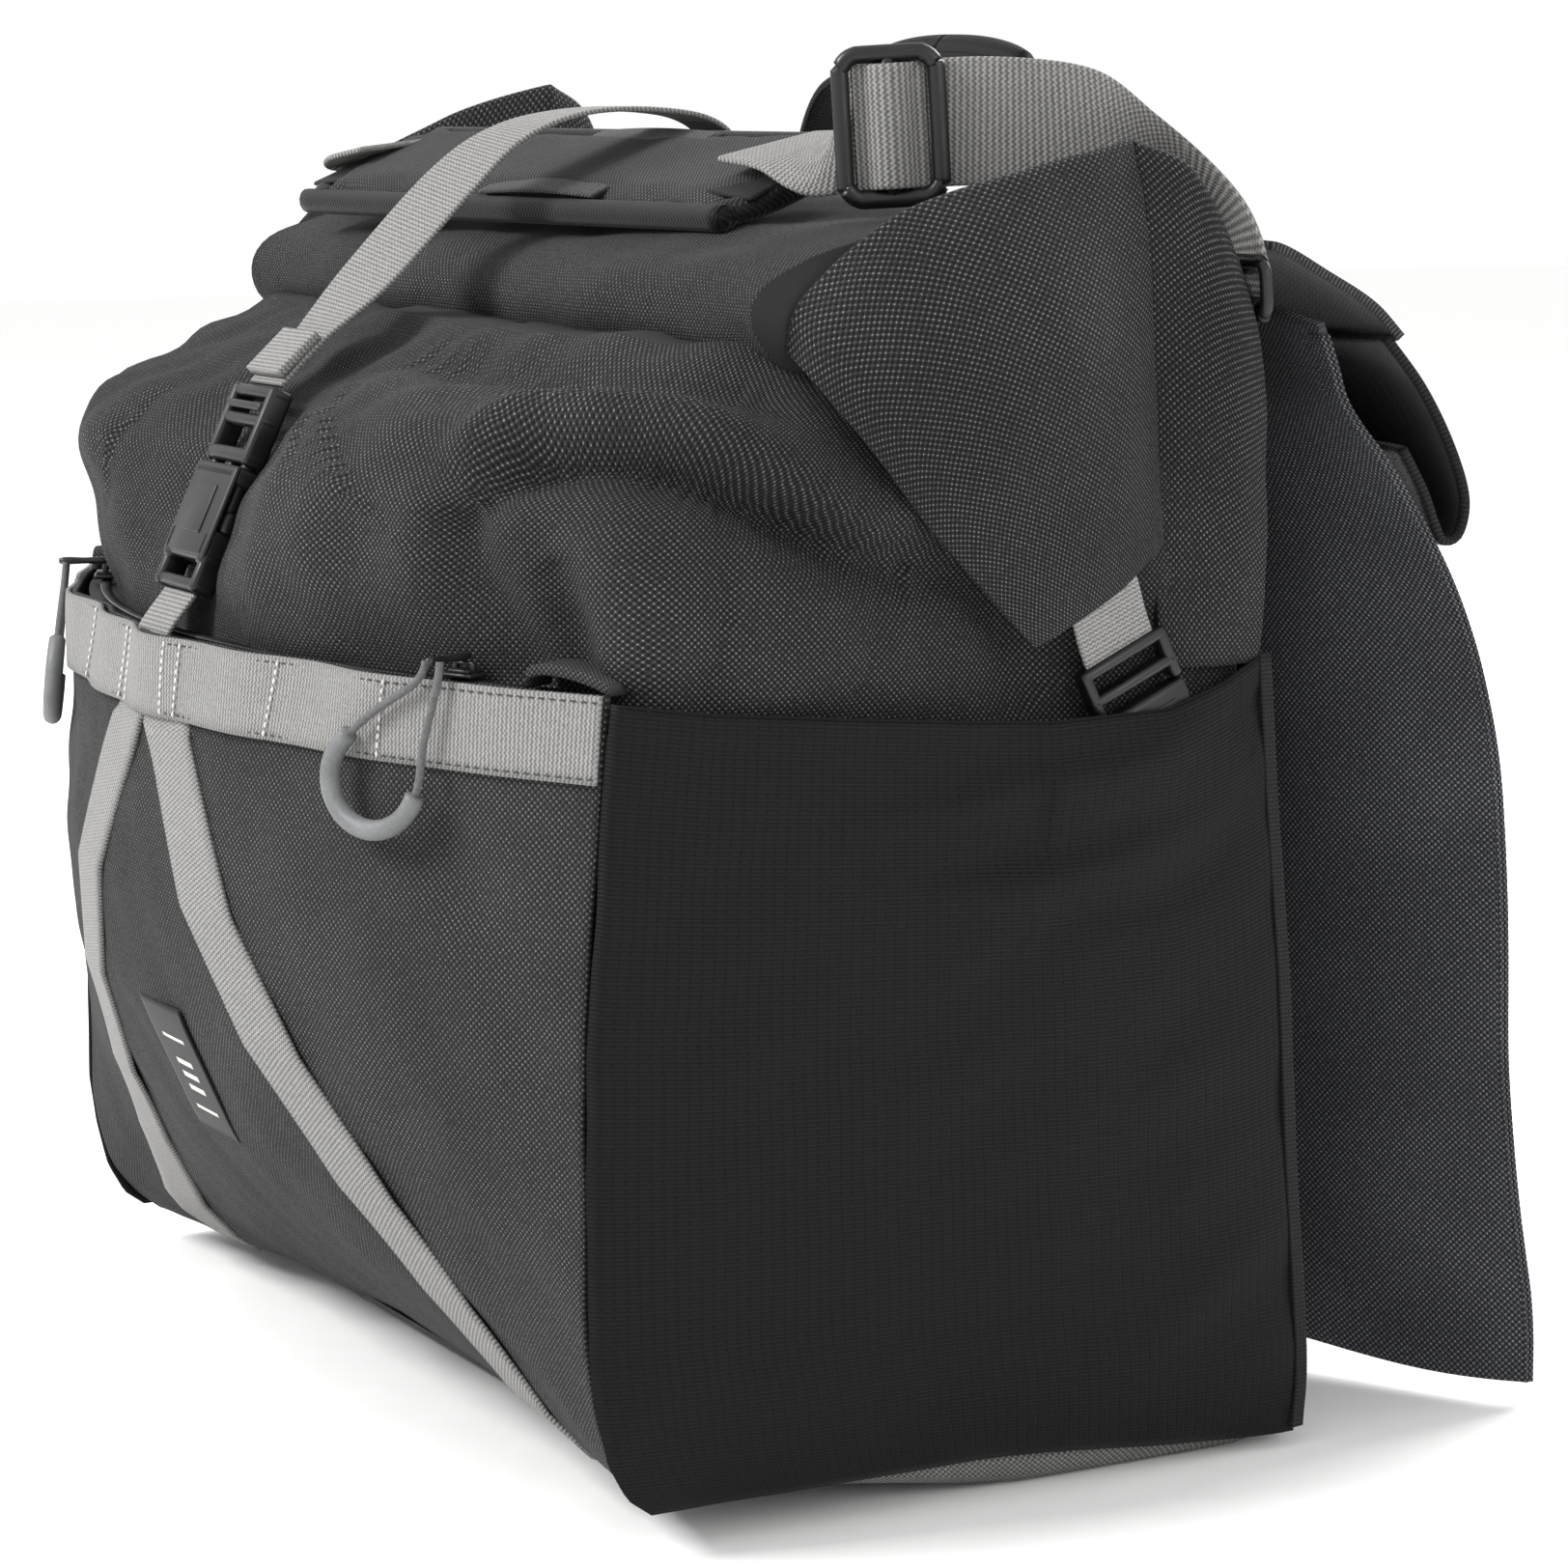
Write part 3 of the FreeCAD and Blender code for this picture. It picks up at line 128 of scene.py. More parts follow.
def smooth_path(stations, count, closed=False):
    """count rows along a smooth curve through stations, evenly spaced by the first three columns."""
    p = np.array(stations, float)
    n = len(p)
    if closed:
        ring = np.vstack([p[-2:], p, p[:3]])
    else:
        ring = np.vstack([2 * p[0] - p[1], p, 2 * p[-1] - p[-2]])
    first = 2 if closed else 1
    spans = n if closed else n - 1
    rows = []
    t = np.linspace(0, 1, 24, endpoint=False)[:, None]
    for i in range(first, first + spans):
        a, b, c, d = ring[i - 1], ring[i], ring[i + 1], ring[i + 2]
        square, cube = 2 * a - 5 * b + 4 * c - d, 3 * b - a - 3 * c + d
        rows.append(0.5 * (2 * b + (c - a) * t + square * t**2 + cube * t**3))
    rows.append(ring[first + spans][None])
    fine = np.vstack(rows)
    gone = np.r_[0, np.cumsum(np.linalg.norm(np.diff(fine[:, :3], axis=0), axis=1))]
    at = np.linspace(0, gone[-1], count, endpoint=not closed)
    return np.column_stack([np.interp(at, gone, fine[:, k]) for k in range(fine.shape[1])])


def unit(v):
    v = np.asarray(v, float)
    return v / np.maximum(np.linalg.norm(v, axis=-1, keepdims=True), 1e-9)


def soften(grid, sigma, axis, wrap):
    """Gaussian blur of a grid of points along one axis, sigma in steps."""
    reach = int(3 * sigma) + 1
    weights = np.exp(-0.5 * (np.arange(-reach, reach + 1) / sigma) ** 2)
    weights /= weights.sum()
    pads = [(0, 0)] * grid.ndim
    pads[axis] = (reach, reach)
    wide = np.pad(grid, pads, mode="wrap" if wrap else "reflect", **({} if wrap else {"reflect_type": "odd"}))
    size = grid.shape[axis]
    return sum(w * np.take(wide, range(i, i + size), axis=axis) for i, w in enumerate(weights))


def grid_normals(grid, wrap):
    if wrap:
        across = np.roll(grid, -1, axis=1) - np.roll(grid, 1, axis=1)
    else:
        across = np.gradient(grid, axis=1)
    return unit(np.cross(across, np.gradient(grid, axis=0)))


def fold(grid, normals, path, height, width, ends=0.35):
    """Raises, or with a negative height sinks, a grid along a line, fading out at its ends."""
    points = smooth_path(path, 24)
    flat = grid.reshape(-1, 3)
    best = np.full(len(flat), 1e9)
    where = np.zeros(len(flat))
    for i, p in enumerate(points):
        d = np.linalg.norm(flat - p, axis=1)
        near = d < best
        best[near], where[near] = d[near], i / (len(points) - 1)
    fade = ends + (1 - ends) * np.sin(np.pi * where) ** 0.5
    lift = height * fade * np.exp(-((best / width) ** 2))
    return grid + normals * lift.reshape(grid.shape[:2])[..., None]


def ripple(grid, normals, height, scale, seed):
    """Small smooth unevenness, the sum of a few random waves of about scale millimetres."""
    rng = np.random.default_rng(seed)
    wave = np.zeros(grid.shape[:2])
    for _ in range(9):
        k = unit(rng.normal(size=3)) * 2 * np.pi / (scale * rng.uniform(0.6, 1.7))
        wave += np.sin(grid @ k + rng.uniform(0, 6.28))
    return grid + normals * (height * wave / 3)[..., None]


# ------------------------------------------------------------------ meshes


def grid_data(rows, wrap):
    """Vertices, faces and corner UVs in metres of a grid of points."""
    rows = np.asarray(rows, float)
    n, m = rows.shape[:2]
    cols = m if wrap else m - 1
    i, j = np.meshgrid(np.arange(n - 1), np.arange(cols), indexing="ij")
    i, j = i.ravel(), j.ravel()
    nxt = (j + 1) % m
    faces = np.stack([i * m + j, i * m + nxt, (i + 1) * m + nxt, (i + 1) * m + j], axis=1)
    round_trip = np.concatenate([rows, rows[:, :1]], axis=1) if wrap else rows
    u = np.r_[0, np.cumsum(np.linalg.norm(np.diff(round_trip, axis=1), axis=2).mean(0))] * MM
    v = np.r_[0, np.cumsum(np.linalg.norm(np.diff(rows, axis=0), axis=2).mean(1))] * MM
    uv = np.stack([u[j], v[i], u[j + 1], v[i], u[j + 1], v[i + 1], u[j], v[i + 1]], axis=1).reshape(-1, 2)
    return rows.reshape(-1, 3) * MM, faces, uv


def mesh_piece(name, parts, material, caps=()):
    """An object from grids; caps are rings of vertex numbers closed with one face each."""
    verts, faces, uvs, at = [], [], [], 0
    for rows, wrap in parts:
        v, f, uv = grid_data(rows, wrap)
        verts.append(v)
        faces += (f + at).tolist()
        uvs.append(uv)
        at += len(v)
    verts = np.concatenate(verts)
    mesh = bpy.data.meshes.new(name)
    mesh.from_pydata(verts.tolist(), [], faces + [list(c) for c in caps])
    layer = mesh.uv_layers.new(name="cloth")
    coords = np.zeros((len(mesh.loops), 2))
    flat = np.concatenate(uvs)
    coords[: len(flat)] = flat
    layer.data.foreach_set("uv", coords.ravel())
    mesh.polygons.foreach_set("use_smooth", np.ones(len(mesh.polygons), bool))
    mesh.materials.append(material)
    obj = bpy.data.objects.new(name, mesh)
    bpy.context.scene.collection.objects.link(obj)
    return obj


def bake(obj):
    """Turns an object's modifiers into plain mesh."""
    bpy.context.view_layer.update()
    evaluated = obj.evaluated_get(bpy.context.evaluated_depsgraph_get())
    mesh = bpy.data.meshes.new_from_object(evaluated, depsgraph=bpy.context.evaluated_depsgraph_get())
    obj.modifiers.clear()
    old = obj.data
    obj.data = mesh
    if old.users == 0 and isinstance(old, bpy.types.Mesh):
        bpy.data.meshes.remove(old)
    return obj


def outwards(obj):
    """Turns a closed mesh the right way out."""
    bm = bmesh.new()
    bm.from_mesh(obj.data)
    if bm.calc_volume(signed=True) < 0:
        bmesh.ops.reverse_faces(bm, faces=bm.faces)
    bm.to_mesh(obj.data)
    bm.free()
    return obj


def weld(obj, gap=0.05):
    bm = bmesh.new()
    bm.from_mesh(obj.data)
    bmesh.ops.remove_doubles(bm, verts=bm.verts, dist=gap * MM)
    bmesh.ops.recalc_face_normals(bm, faces=bm.faces)
    bm.to_mesh(obj.data)
    bm.free()
    return obj


def thicken(obj, thick, offset=0.0, smooth=0):
    """Gives a sheet its thickness, and optionally one subdivision."""
    solid = obj.modifiers.new("Solidify", "SOLIDIFY")
    solid.thickness, solid.offset = thick * MM, offset
    solid.use_even_offset = False
    if smooth:
        sub = obj.modifiers.new("Subdivision", "SUBSURF")
        sub.levels = sub.render_levels = smooth
    return outwards(bake(obj))


def place(obj, body, slot, *nodes):
    """Fastens a finished piece to its body and lets it stand for its CAD nodes."""
    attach(obj, body)
    if nodes:
        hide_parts(*nodes)
    return obj


RIBBON_SECTION = (
    (-0.5, -0.2), (-0.488, -0.46), (-0.46, -0.5), (-0.25, -0.5), (0, -0.5), (0.25, -0.5), (0.46, -0.5),
    (0.488, -0.46), (0.5, -0.2), (0.5, 0.2), (0.488, 0.46), (0.46, 0.5), (0.25, 0.5), (0, 0.5),
    (-0.25, 0.5), (-0.46, 0.5), (-0.488, 0.46), (-0.5, 0.2),
)  # fmt: skip


def ribbon_grid(stations, width, thick, count):
    """Rows of a webbing's section along stations of (point, across, normal)."""
    path = smooth_path([np.concatenate(s) for s in stations], count)
    p, across, normal = path[:, :3], unit(path[:, 3:6]), path[:, 6:9]
    normal = unit(normal - across * (normal * across).sum(1, keepdims=True))
    section = np.array(RIBBON_SECTION)
    return (
        p[:, None]
        + across[:, None] * (section[None, :, :1] * width)
        + normal[:, None] * (section[None, :, 1:] * thick)
    )


def ribbon(name, stations, width, thick, material, count=60, mirror=False):
    """Webbing: a flat closed strip along stations."""
    rows = ribbon_grid(stations, width, thick, count)
    if mirror:
        rows[..., 0] *= -1
    m = rows.shape[1]
    caps = [range(m), range((count - 1) * m, count * m)]
    obj = mesh_piece(name, [(rows, True)], material, caps)
    return outwards(weld(obj, 0.001))


def tube_grid(points, radius, sides=12, closed=False, flat=1.0, up=(0, 0, 1)):
    """Rows of a round or flattened section swept along points."""
    p = np.asarray(points, float)
    along = np.roll(p, -1, 0) - np.roll(p, 1, 0) if closed else np.gradient(p, axis=0)
    along = unit(along)
    side = unit(np.cross(along, np.array(up, float)))
    top = np.cross(side, along)
    turn = np.linspace(0, 2 * np.pi, sides, endpoint=False)
    r = np.broadcast_to(np.asarray(radius, float), (len(p),))[:, None, None]
    cosine, sine = np.cos(turn)[None, :, None], np.sin(turn)[None, :, None]
    ring = side[:, None] * cosine * r + top[:, None] * sine * r * flat
    return p[:, None] + ring


def tube(name, points, radius, material, sides=12, closed=False, flat=1.0, up=(0, 0, 1)):
    rows = tube_grid(points, radius, sides, closed, flat, up)
    n = len(rows)
    if closed:
        rows = np.concatenate([rows, rows[:1]])
        return outwards(weld(mesh_piece(name, [(rows, True)], material)))
    caps = [range(sides), range((n - 1) * sides, n * sides)]
    return outwards(weld(mesh_piece(name, [(rows, True)], material, caps), 0.001))


def joined(name, objects):
    """One object from several, keeping the first one's name."""
    with bpy.context.temp_override(active_object=objects[0], selected_editable_objects=objects):
        bpy.ops.object.join()
    objects[0].name = name
    return objects[0]


def block(name, size, centre, matrix, bevel, material, segments=3):
    """A moulded block with rounded edges, placed by a matrix whose units are millimetres."""
    bm = bmesh.new()
    bmesh.ops.create_cube(bm, size=1.0)
    bmesh.ops.scale(bm, vec=Vector(size), verts=bm.verts)
    bmesh.ops.bevel(bm, geom=bm.edges[:], offset=bevel, segments=segments, profile=0.5, affect="EDGES")
    bmesh.ops.translate(bm, vec=Vector(centre), verts=bm.verts)
    bmesh.ops.transform(bm, matrix=Matrix.Scale(MM, 4) @ matrix, verts=bm.verts)
    mesh = bpy.data.meshes.new(name)
    bmesh.ops.recalc_face_normals(bm, faces=bm.faces)
    bm.to_mesh(mesh)
    bm.free()
    mesh.polygons.foreach_set("use_smooth", np.ones(len(mesh.polygons), bool))
    mesh.uv_layers.new(name="cloth")
    mesh.materials.append(material)
    obj = bpy.data.objects.new(name, mesh)
    bpy.context.scene.collection.objects.link(obj)
    return obj


def blocks(name, bits, matrix, material):
    """Several round-edged blocks as one piece, each given as size, centre and bevel."""
    pieces = []
    for i, (size, centre, bevel) in enumerate(bits):
        pieces.append(block(f"{name}_{i}", size, centre, matrix, bevel, material))
    return joined(name, pieces)


def axes_matrix(origin, along, normal):
    """Local Z along the piece, local Y minus the outward normal, local X across; millimetres."""
    z = Vector(along).normalized()
    y = -Vector(normal)
    y = (y - z * y.dot(z)).normalized()
    x = y.cross(z)
    m = Matrix.Identity(4)
    for i in range(3):
        m[i][0], m[i][1], m[i][2], m[i][3] = x[i], y[i], z[i], origin[i]
    return m


# ------------------------------------------------------------------ materials


def add(tree, kind, inputs=(), **settings):
    """Adds a node, sets its properties and fills its inputs with values or links."""
    node = tree.nodes.new(kind)
    for key, value in settings.items():
        setattr(node, key, value)
    for key, value in dict(inputs).items():
        if isinstance(value, bpy.types.NodeSocket):
            tree.links.new(value, node.inputs[key])
        else:
            node.inputs[key].default_value = value
    return node


def maths(tree, operation, *values):
    return add(tree, "ShaderNodeMath", dict(enumerate(values)), operation=operation).outputs[0]


def new_material(name, rough, metallic=0.0, ior=1.5, sheen=0.0):
    material = bpy.data.materials.new(name)
    material.use_nodes = True
    tree = material.node_tree
    shader = tree.nodes["Principled BSDF"]
    shader.inputs["Roughness"].default_value = rough
    shader.inputs["Metallic"].default_value = metallic
    shader.inputs["IOR"].default_value = ior
    shader.inputs["Sheen Weight"].default_value = sheen
    shader.inputs["Specular IOR Level"].default_value = 0.15 if sheen else 0.5
    return material, tree, shader


def uv_axes(tree, pitch_u, pitch_v):
    """The piece's own U and V as angles that turn once per pitch, pitches in millimetres."""
    uv = add(tree, "ShaderNodeUVMap", uv_map="cloth").outputs[0]
    split = add(tree, "ShaderNodeSeparateXYZ", {0: uv})
    turn = 2 * math.pi / MM
    return [maths(tree, "MULTIPLY", split.outputs[k], turn / p) for k, p in enumerate((pitch_u, pitch_v))]


def blotches(tree, size, detail=3.0):
    """Soft noise over the object, size in millimetres."""
    at = add(tree, "ShaderNodeTexCoord").outputs["Object"]
    noise = add(tree, "ShaderNodeTexNoise", {"Vector": at, "Scale": 1 / (size * MM), "Detail": detail})
    return noise.outputs["Fac"]


def mixed(tree, factor, dark, light):
    """A colour between two, each a hex code or a socket."""
    a, b = (c if isinstance(c, bpy.types.NodeSocket) else linear(c) for c in (dark, light))
    return add(tree, "ShaderNodeMix", {0: factor, 6: a, 7: b}, data_type="RGBA").outputs[2]


def bumped(tree, shader, height, strength, distance):
    node = add(tree, "ShaderNodeBump", {"Height": height, "Strength": strength, "Distance": distance * MM})
    tree.links.new(node.outputs[0], shader.inputs["Normal"])


def ramp(tree, value, low, high):
    """0 below low, 1 above high, smooth between."""
    node = add(tree, "ShaderNodeMapRange", {0: value, 1: low, 2: high}, interpolation_type="SMOOTHSTEP")
    return node.outputs[0]


def basket_weave(name, dark, mid, fleck, pitch=2.05, rough=0.82, fleck_share=0.62):
    """Coated basket-weave polyester, woven: matte, with a light fleck where each thread crosses over."""
    material, tree, shader = new_material(name, rough, sheen=0.02)
    u, v = uv_axes(tree, pitch, pitch)
    cross = maths(tree, "MULTIPLY", maths(tree, "SINE", u), maths(tree, "SINE", v))
    grain = blotches(tree, 1.1, 2.0)
    body = mixed(tree, ramp(tree, cross, -0.55, 0.35), dark, mid)
    uneven = maths(tree, "MULTIPLY", ramp(tree, cross, fleck_share, 0.98), ramp(tree, grain, 0.3, 0.62))
    colour = mixed(tree, uneven, body, fleck)
    shade = mixed(tree, ramp(tree, blotches(tree, 70), 0.35, 0.7), "#dcdcdc", "#ffffff")
    toned = add(tree, "ShaderNodeMix", {0: 1.0, 6: colour, 7: shade}, data_type="RGBA", blend_type="MULTIPLY")
    tree.links.new(toned.outputs[2], shader.inputs["Base Color"])
    height = maths(tree, "ADD", maths(tree, "ABSOLUTE", cross), maths(tree, "MULTIPLY", grain, 0.35))
    bumped(tree, shader, height, 0.75, 0.42)
    return material


def ribbed_webbing(name, dark, light, pitch=1.5, rough=0.62):
    """Nylon webbing, woven: cross ribs with fine warp threads, a little gloss on the ribs."""
    material, tree, shader = new_material(name, rough, sheen=0.05)
    u, v = uv_axes(tree, 1.6, pitch)
    stagger = maths(tree, "MULTIPLY", maths(tree, "SINE", u), 0.9)
    rib = maths(tree, "SINE", maths(tree, "ADD", v, stagger))
    grain = blotches(tree, 0.8, 2.0)
    tone = maths(tree, "ADD", maths(tree, "MULTIPLY", rib, 0.32), maths(tree, "MULTIPLY", grain, 0.9))
    tree.links.new(mixed(tree, ramp(tree, tone, 0.0, 0.95), dark, light), shader.inputs["Base Color"])
    bumped(tree, shader, maths(tree, "ADD", rib, maths(tree, "MULTIPLY", grain, 0.4)), 0.6, 0.3)
    return material


def knit_mesh(name, dark, light):
    """Stretch mesh, warp-knitted nylon: fine courses and columns of small holes, slightly shiny; the holes are painted
    near-black as painted shade seen through them.
    """
    material, tree, shader = new_material(name, 0.6, sheen=0.01)
    u, v = uv_axes(tree, 3.6, 2.4)
    course = maths(tree, "SINE", maths(tree, "MULTIPLY", v, 2.0))
    column = ramp(tree, maths(tree, "COSINE", u), 0.72, 0.97)
    hole = maths(tree, "MULTIPLY", column, ramp(tree, maths(tree, "SINE", v), 0.2, 0.8))
    lit = mixed(tree, ramp(tree, course, -0.3, 1.0), dark, light)
    # Painted shade: the holes are coloured near-black, darker than the cloth behind them, for the shadow seen through
    # the mesh.
    tree.links.new(mixed(tree, hole, lit, "#020202"), shader.inputs["Base Color"])
    height = maths(tree, "SUBTRACT", maths(tree, "MULTIPLY", course, 0.35), hole)
    height = maths(tree, "SUBTRACT", height, maths(tree, "MULTIPLY", column, 0.5))
    bumped(tree, shader, height, 0.6, 0.35)
    return material


def twill(name, dark, light, pitch=1.9, rough=0.75):
    """Twill or herringbone tape, woven: slanted ribs that turn over every few millimetres."""
    material, tree, shader = new_material(name, rough, sheen=0.1)
    u, v = uv_axes(tree, 9.0, pitch)
    slant = maths(tree, "MULTIPLY", maths(tree, "ARCSINE", maths(tree, "SINE", u)), 2.6)
    rib = maths(tree, "SINE", maths(tree, "ADD", v, slant))
    grain = blotches(tree, 1.0, 2.0)
    tone = maths(tree, "MULTIPLY", ramp(tree, rib, -0.4, 0.9), ramp(tree, grain, 0.2, 0.6))
    tree.links.new(mixed(tree, tone, dark, light), shader.inputs["Base Color"])
    bumped(tree, shader, rib, 0.5, 0.25)
    return material


def grained(name, dark, light, rough, size, strength, depth, metallic=0.0, ior=1.5):
    """A moulded, dyed or cast surface with fine grain and faint handling marks."""
    material, tree, shader = new_material(name, rough, metallic, ior)
    grain = blotches(tree, size, 4.0)
    wear = blotches(tree, 14.0, 5.0)
    tone = maths(tree, "ADD", maths(tree, "MULTIPLY", grain, 0.5), maths(tree, "MULTIPLY", wear, 0.6))
    tree.links.new(mixed(tree, ramp(tree, tone, 0.35, 0.8), dark, light), shader.inputs["Base Color"])
    spread = add(tree, "ShaderNodeMapRange", {0: wear, 1: 0.3, 2: 0.7, 3: rough - 0.08, 4: rough + 0.1})
    tree.links.new(spread.outputs[0], shader.inputs["Roughness"])
    bumped(tree, shader, grain, strength, depth)
    return material


def woven_label(name):
    """Damask label, woven: black ground with a plain border, bars and lozenges in white."""
    material, tree, shader = new_material(name, 0.7, sheen=0.1)
    uv = add(tree, "ShaderNodeUVMap", uv_map="cloth").outputs[0]
    x, y, _ = add(tree, "ShaderNodeSeparateXYZ", {0: uv}).outputs
    wide, tall = 34 * MM, 44 * MM
    off_x = maths(tree, "ABSOLUTE", maths(tree, "SUBTRACT", x, wide / 2))
    off_y = maths(tree, "ABSOLUTE", maths(tree, "SUBTRACT", y, tall / 2))
    wave = maths(tree, "SINE", maths(tree, "MULTIPLY", y, 2 * math.pi / (5 * MM)))
    bars = maths(tree, "GREATER_THAN", wave, 0.25)
    zone = maths(tree, "LESS_THAN", off_y, 8 * MM)
    short = maths(tree, "LESS_THAN", off_x, 6.5 * MM)
    bars = maths(tree, "MULTIPLY", maths(tree, "MULTIPLY", bars, zone), short)
    band = maths(tree, "COMPARE", off_y, 13.5 * MM, 0.7 * MM)
    band = maths(tree, "MULTIPLY", band, maths(tree, "LESS_THAN", off_x, 9 * MM))
    ground = maths(tree, "MAXIMUM", bars, band)
    tree.links.new(mixed(tree, ground, "#161616", "#c9c7c2"), shader.inputs["Base Color"])
    u, v = uv_axes(tree, 0.9, 0.9)
    bumped(tree, shader, maths(tree, "MULTIPLY", maths(tree, "SINE", u), maths(tree, "SINE", v)), 0.4, 0.12)
    return material


class BAG_PG_colours(bpy.types.PropertyGroup):
    """Cloth and webbing colours of the bag."""

    body: bpy.props.FloatVectorProperty(
        name="Main cloth", description="Ground colour of the woven body cloth", subtype="COLOR", size=4,
        min=0.0, max=1.0, default=linear("#333334"),
    )  # fmt: skip
    webbing: bpy.props.FloatVectorProperty(
        name="Webbing", description="Light tone of the straps and the front band", subtype="COLOR", size=4,
        min=0.0, max=1.0, default=linear("#979694"),
    )  # fmt: skip


class BAG_PG_sizes(bpy.types.PropertyGroup):
    """Sizes of details that a maker may change."""

    stitch_length: bpy.props.FloatProperty(
        name="Stitch length", description="Length of one visible stitch", unit="LENGTH", default=2.6 * MM,
    )  # fmt: skip
    stitch_pitch: bpy.props.FloatProperty(
        name="Stitch pitch", description="Distance from one stitch to the next", unit="LENGTH",
        default=3.6 * MM,
    )  # fmt: skip
    thread_width: bpy.props.FloatProperty(
        name="Thread width", description="Width of the sewing thread", unit="LENGTH", default=0.75 * MM,
    )  # fmt: skip
    coil_pitch: bpy.props.FloatProperty(
        name="Zip coil pitch", description="Distance between the zip's turns", unit="LENGTH",
        default=1.6 * MM,
    )  # fmt: skip


def hexed(colour):
    """Hex code of a linear colour, for the mixers that take one."""
    parts = [12.92 * c if c <= 0.0031308 else 1.055 * c ** (1 / 2.4) - 0.055 for c in list(colour)[:3]]
    return "#" + "".join(f"{round(max(0, min(1, p)) * 255):02x}" for p in parts)


MATERIALS = {}


def make_materials(colours):
    body, web = hexed(colours.body), hexed(colours.webbing)
    MATERIALS.update(
        cloth=basket_weave("basket weave polyester dark", "#151516", body, "#8a8b8e"),
        pocket=basket_weave("basket weave polyester pocket", "#1a1a1b", "#363636", "#8a8a89"),
        flap=basket_weave("basket weave polyester flap", "#222326", "#4b4c50", "#9c9da2", fleck_share=0.5),
        base=basket_weave("basket weave polyester light", "#4e4e4d", "#807f7d", "#bbbab6"),
        webbing=ribbed_webbing("nylon webbing light", "#605f5e", web),
        sling=ribbed_webbing("nylon webbing ribbed", "#565655", "#94928f", 2.0),
        tape=ribbed_webbing("nylon tape black", "#050505", "#181819", 1.3, 0.55),
        mesh=knit_mesh("warp-knitted stretch mesh", "#020202", "#0f0f0f"),
        spacer=knit_mesh("spacer mesh black", "#070708", "#1a1a1b"),
        twill=twill("polyester twill grey", "#1c1c1d", "#4c4c4c"),
        ribbed=twill("herringbone binding black", "#040405", "#1a1a1b", 1.7, 0.6),
        pad=basket_weave("basket weave pad cloth", "#1c1c1d", "#404041", "#7f7f80", 1.7),
        lining=grained("coated lining ripstop", "#55585c", "#6a6d72", 0.55, 0.9, 0.2, 0.1),
        plastic=grained("moulded acetal black", "#060607", "#101012", 0.42, 0.25, 0.18, 0.05, ior=1.48),
        board=grained("extruded polyethylene sheet", "#0e0e0f", "#171718", 0.6, 0.6, 0.2, 0.08),
        zinc=grained("die-cast zinc, painted", "#2a2a2b", "#48484a", 0.38, 0.5, 0.1, 0.05, metallic=0.6),
        rubber=grained("moulded elastomer grey", "#58595a", "#747576", 0.55, 0.5, 0.2, 0.08),
        cord=twill("braided cord grey", "#4a4a4b", "#8c8c8d", 1.4),
        thread=grained("bonded polyester thread", "#b9aeb0", "#dcd4d4", 0.6, 0.4, 0.3, 0.05),
        dark_thread=grained("bonded thread dark", "#262627", "#3c3c3d", 0.6, 0.4, 0.3, 0.05),
        label=woven_label("damask woven label"),
        floor=grained("painted cove", "#fbfbfa", "#fdfdfc", 0.9, 60, 0.05, 0.1),
    )


# ------------------------------------------------------------------ bag surfaces

# Folds of the upper cloth: a line of points, how far it rises or sinks, and its half width.
FOLDS = (
    (((136, -124, 303), (141, -114, 318), (152, -100, 327), (170, -90, 328), (189, -78, 325),
      (201, -58, 315), (203, -36, 302), (203, -12, 292)), 11, 10),
    (((146, -124, 297), (156, -114, 310), (172, -102, 314), (190, -90, 312), (202, -66, 302),
      (203, -38, 289), (203, -8, 278)), -17, 8.5),
    (((140, -128, 300), (147, -127, 284), (160, -120, 264), (168, -114, 252)), -9, 10),
    (((190, -98, 296), (193, -100, 272), (195, -98, 250)), 9, 15),
    (((172, -113, 286), (180, -108, 268), (184, -105, 250)), -9, 9),
    (((36, -152, 272), (80, -148, 288), (92, -140, 308)), 10, 42),
    (((203, -74, 272), (203, -28, 262)), 8, 28),
    (((204, 2, 282), (204, 18, 262), (204, 34, 240)), -7, 14),
    (((40, -98, 340), (110, -96, 338), (160, -90, 334), (194, -60, 328)), -9, 12),
    (((110, -146, 300), (104, -146, 276), (96, -146, 254)), -5, 16),
    (((-150, -118, 318), (-120, -134, 308), (-80, -142, 300)), 9, 18),
    (((-204, -60, 300), (-204, -20, 290), (-204, 20, 276)), -9, 11),
    (((-196, -96, 300), (-198, -98, 270), (-196, -98, 252)), 8, 16),
    (((-30, -150, 300), (-40, -152, 276), (-36, -150, 256)), -5, 18),
)  # fmt: skip


def arc_y(x, half, corner, middle):
    """Y of the curve through both corner seams and the middle of the front."""
    return -(corner + (middle - corner) * (1 - (x / half) ** 2))


def body_grid(low=3.0, high=345.0, rows=150):
    """The bag's cloth as a closed loop at each height, starting at the front left corner."""
    heights = np.linspace(low, high, rows)
    half, corner, middle, swell = between(BODY_LEVELS, heights)
    back = between(BACK_LINE, heights)[0]
    share = np.linspace(-1, 1, 150)
    hump = np.interp(np.abs(share), (0, 0.09, 0.3, 0.55, 0.8, 1), (0, 0.1, 0.8, 1, 0.66, 0))
    grid = []
    for z, h, c, m, s, b in zip(heights, half, corner, middle, swell, back):
        x = share * h
        front = np.column_stack([x, arc_y(x, h, c, m) - s * hump])
        right = np.column_stack([np.full(66, h), np.linspace(-c, b, 68)[1:-1]])
        rear = np.column_stack([np.linspace(h, -h, 90), np.full(90, b)])
        left = right[::-1] * (-1, 1)
        ring = np.vstack([front, right, rear, left])
        grid.append(np.column_stack([ring, np.full(len(ring), z)]))
    grid = np.array(grid)
    tight, loose = soften(grid, 2.2, 1, True), soften(grid, 6.5, 1, True)
    grid = tight + (loose - tight) * step(235, 290, heights)[:, None, None]
    return soften(grid, 2.0, 0, False)


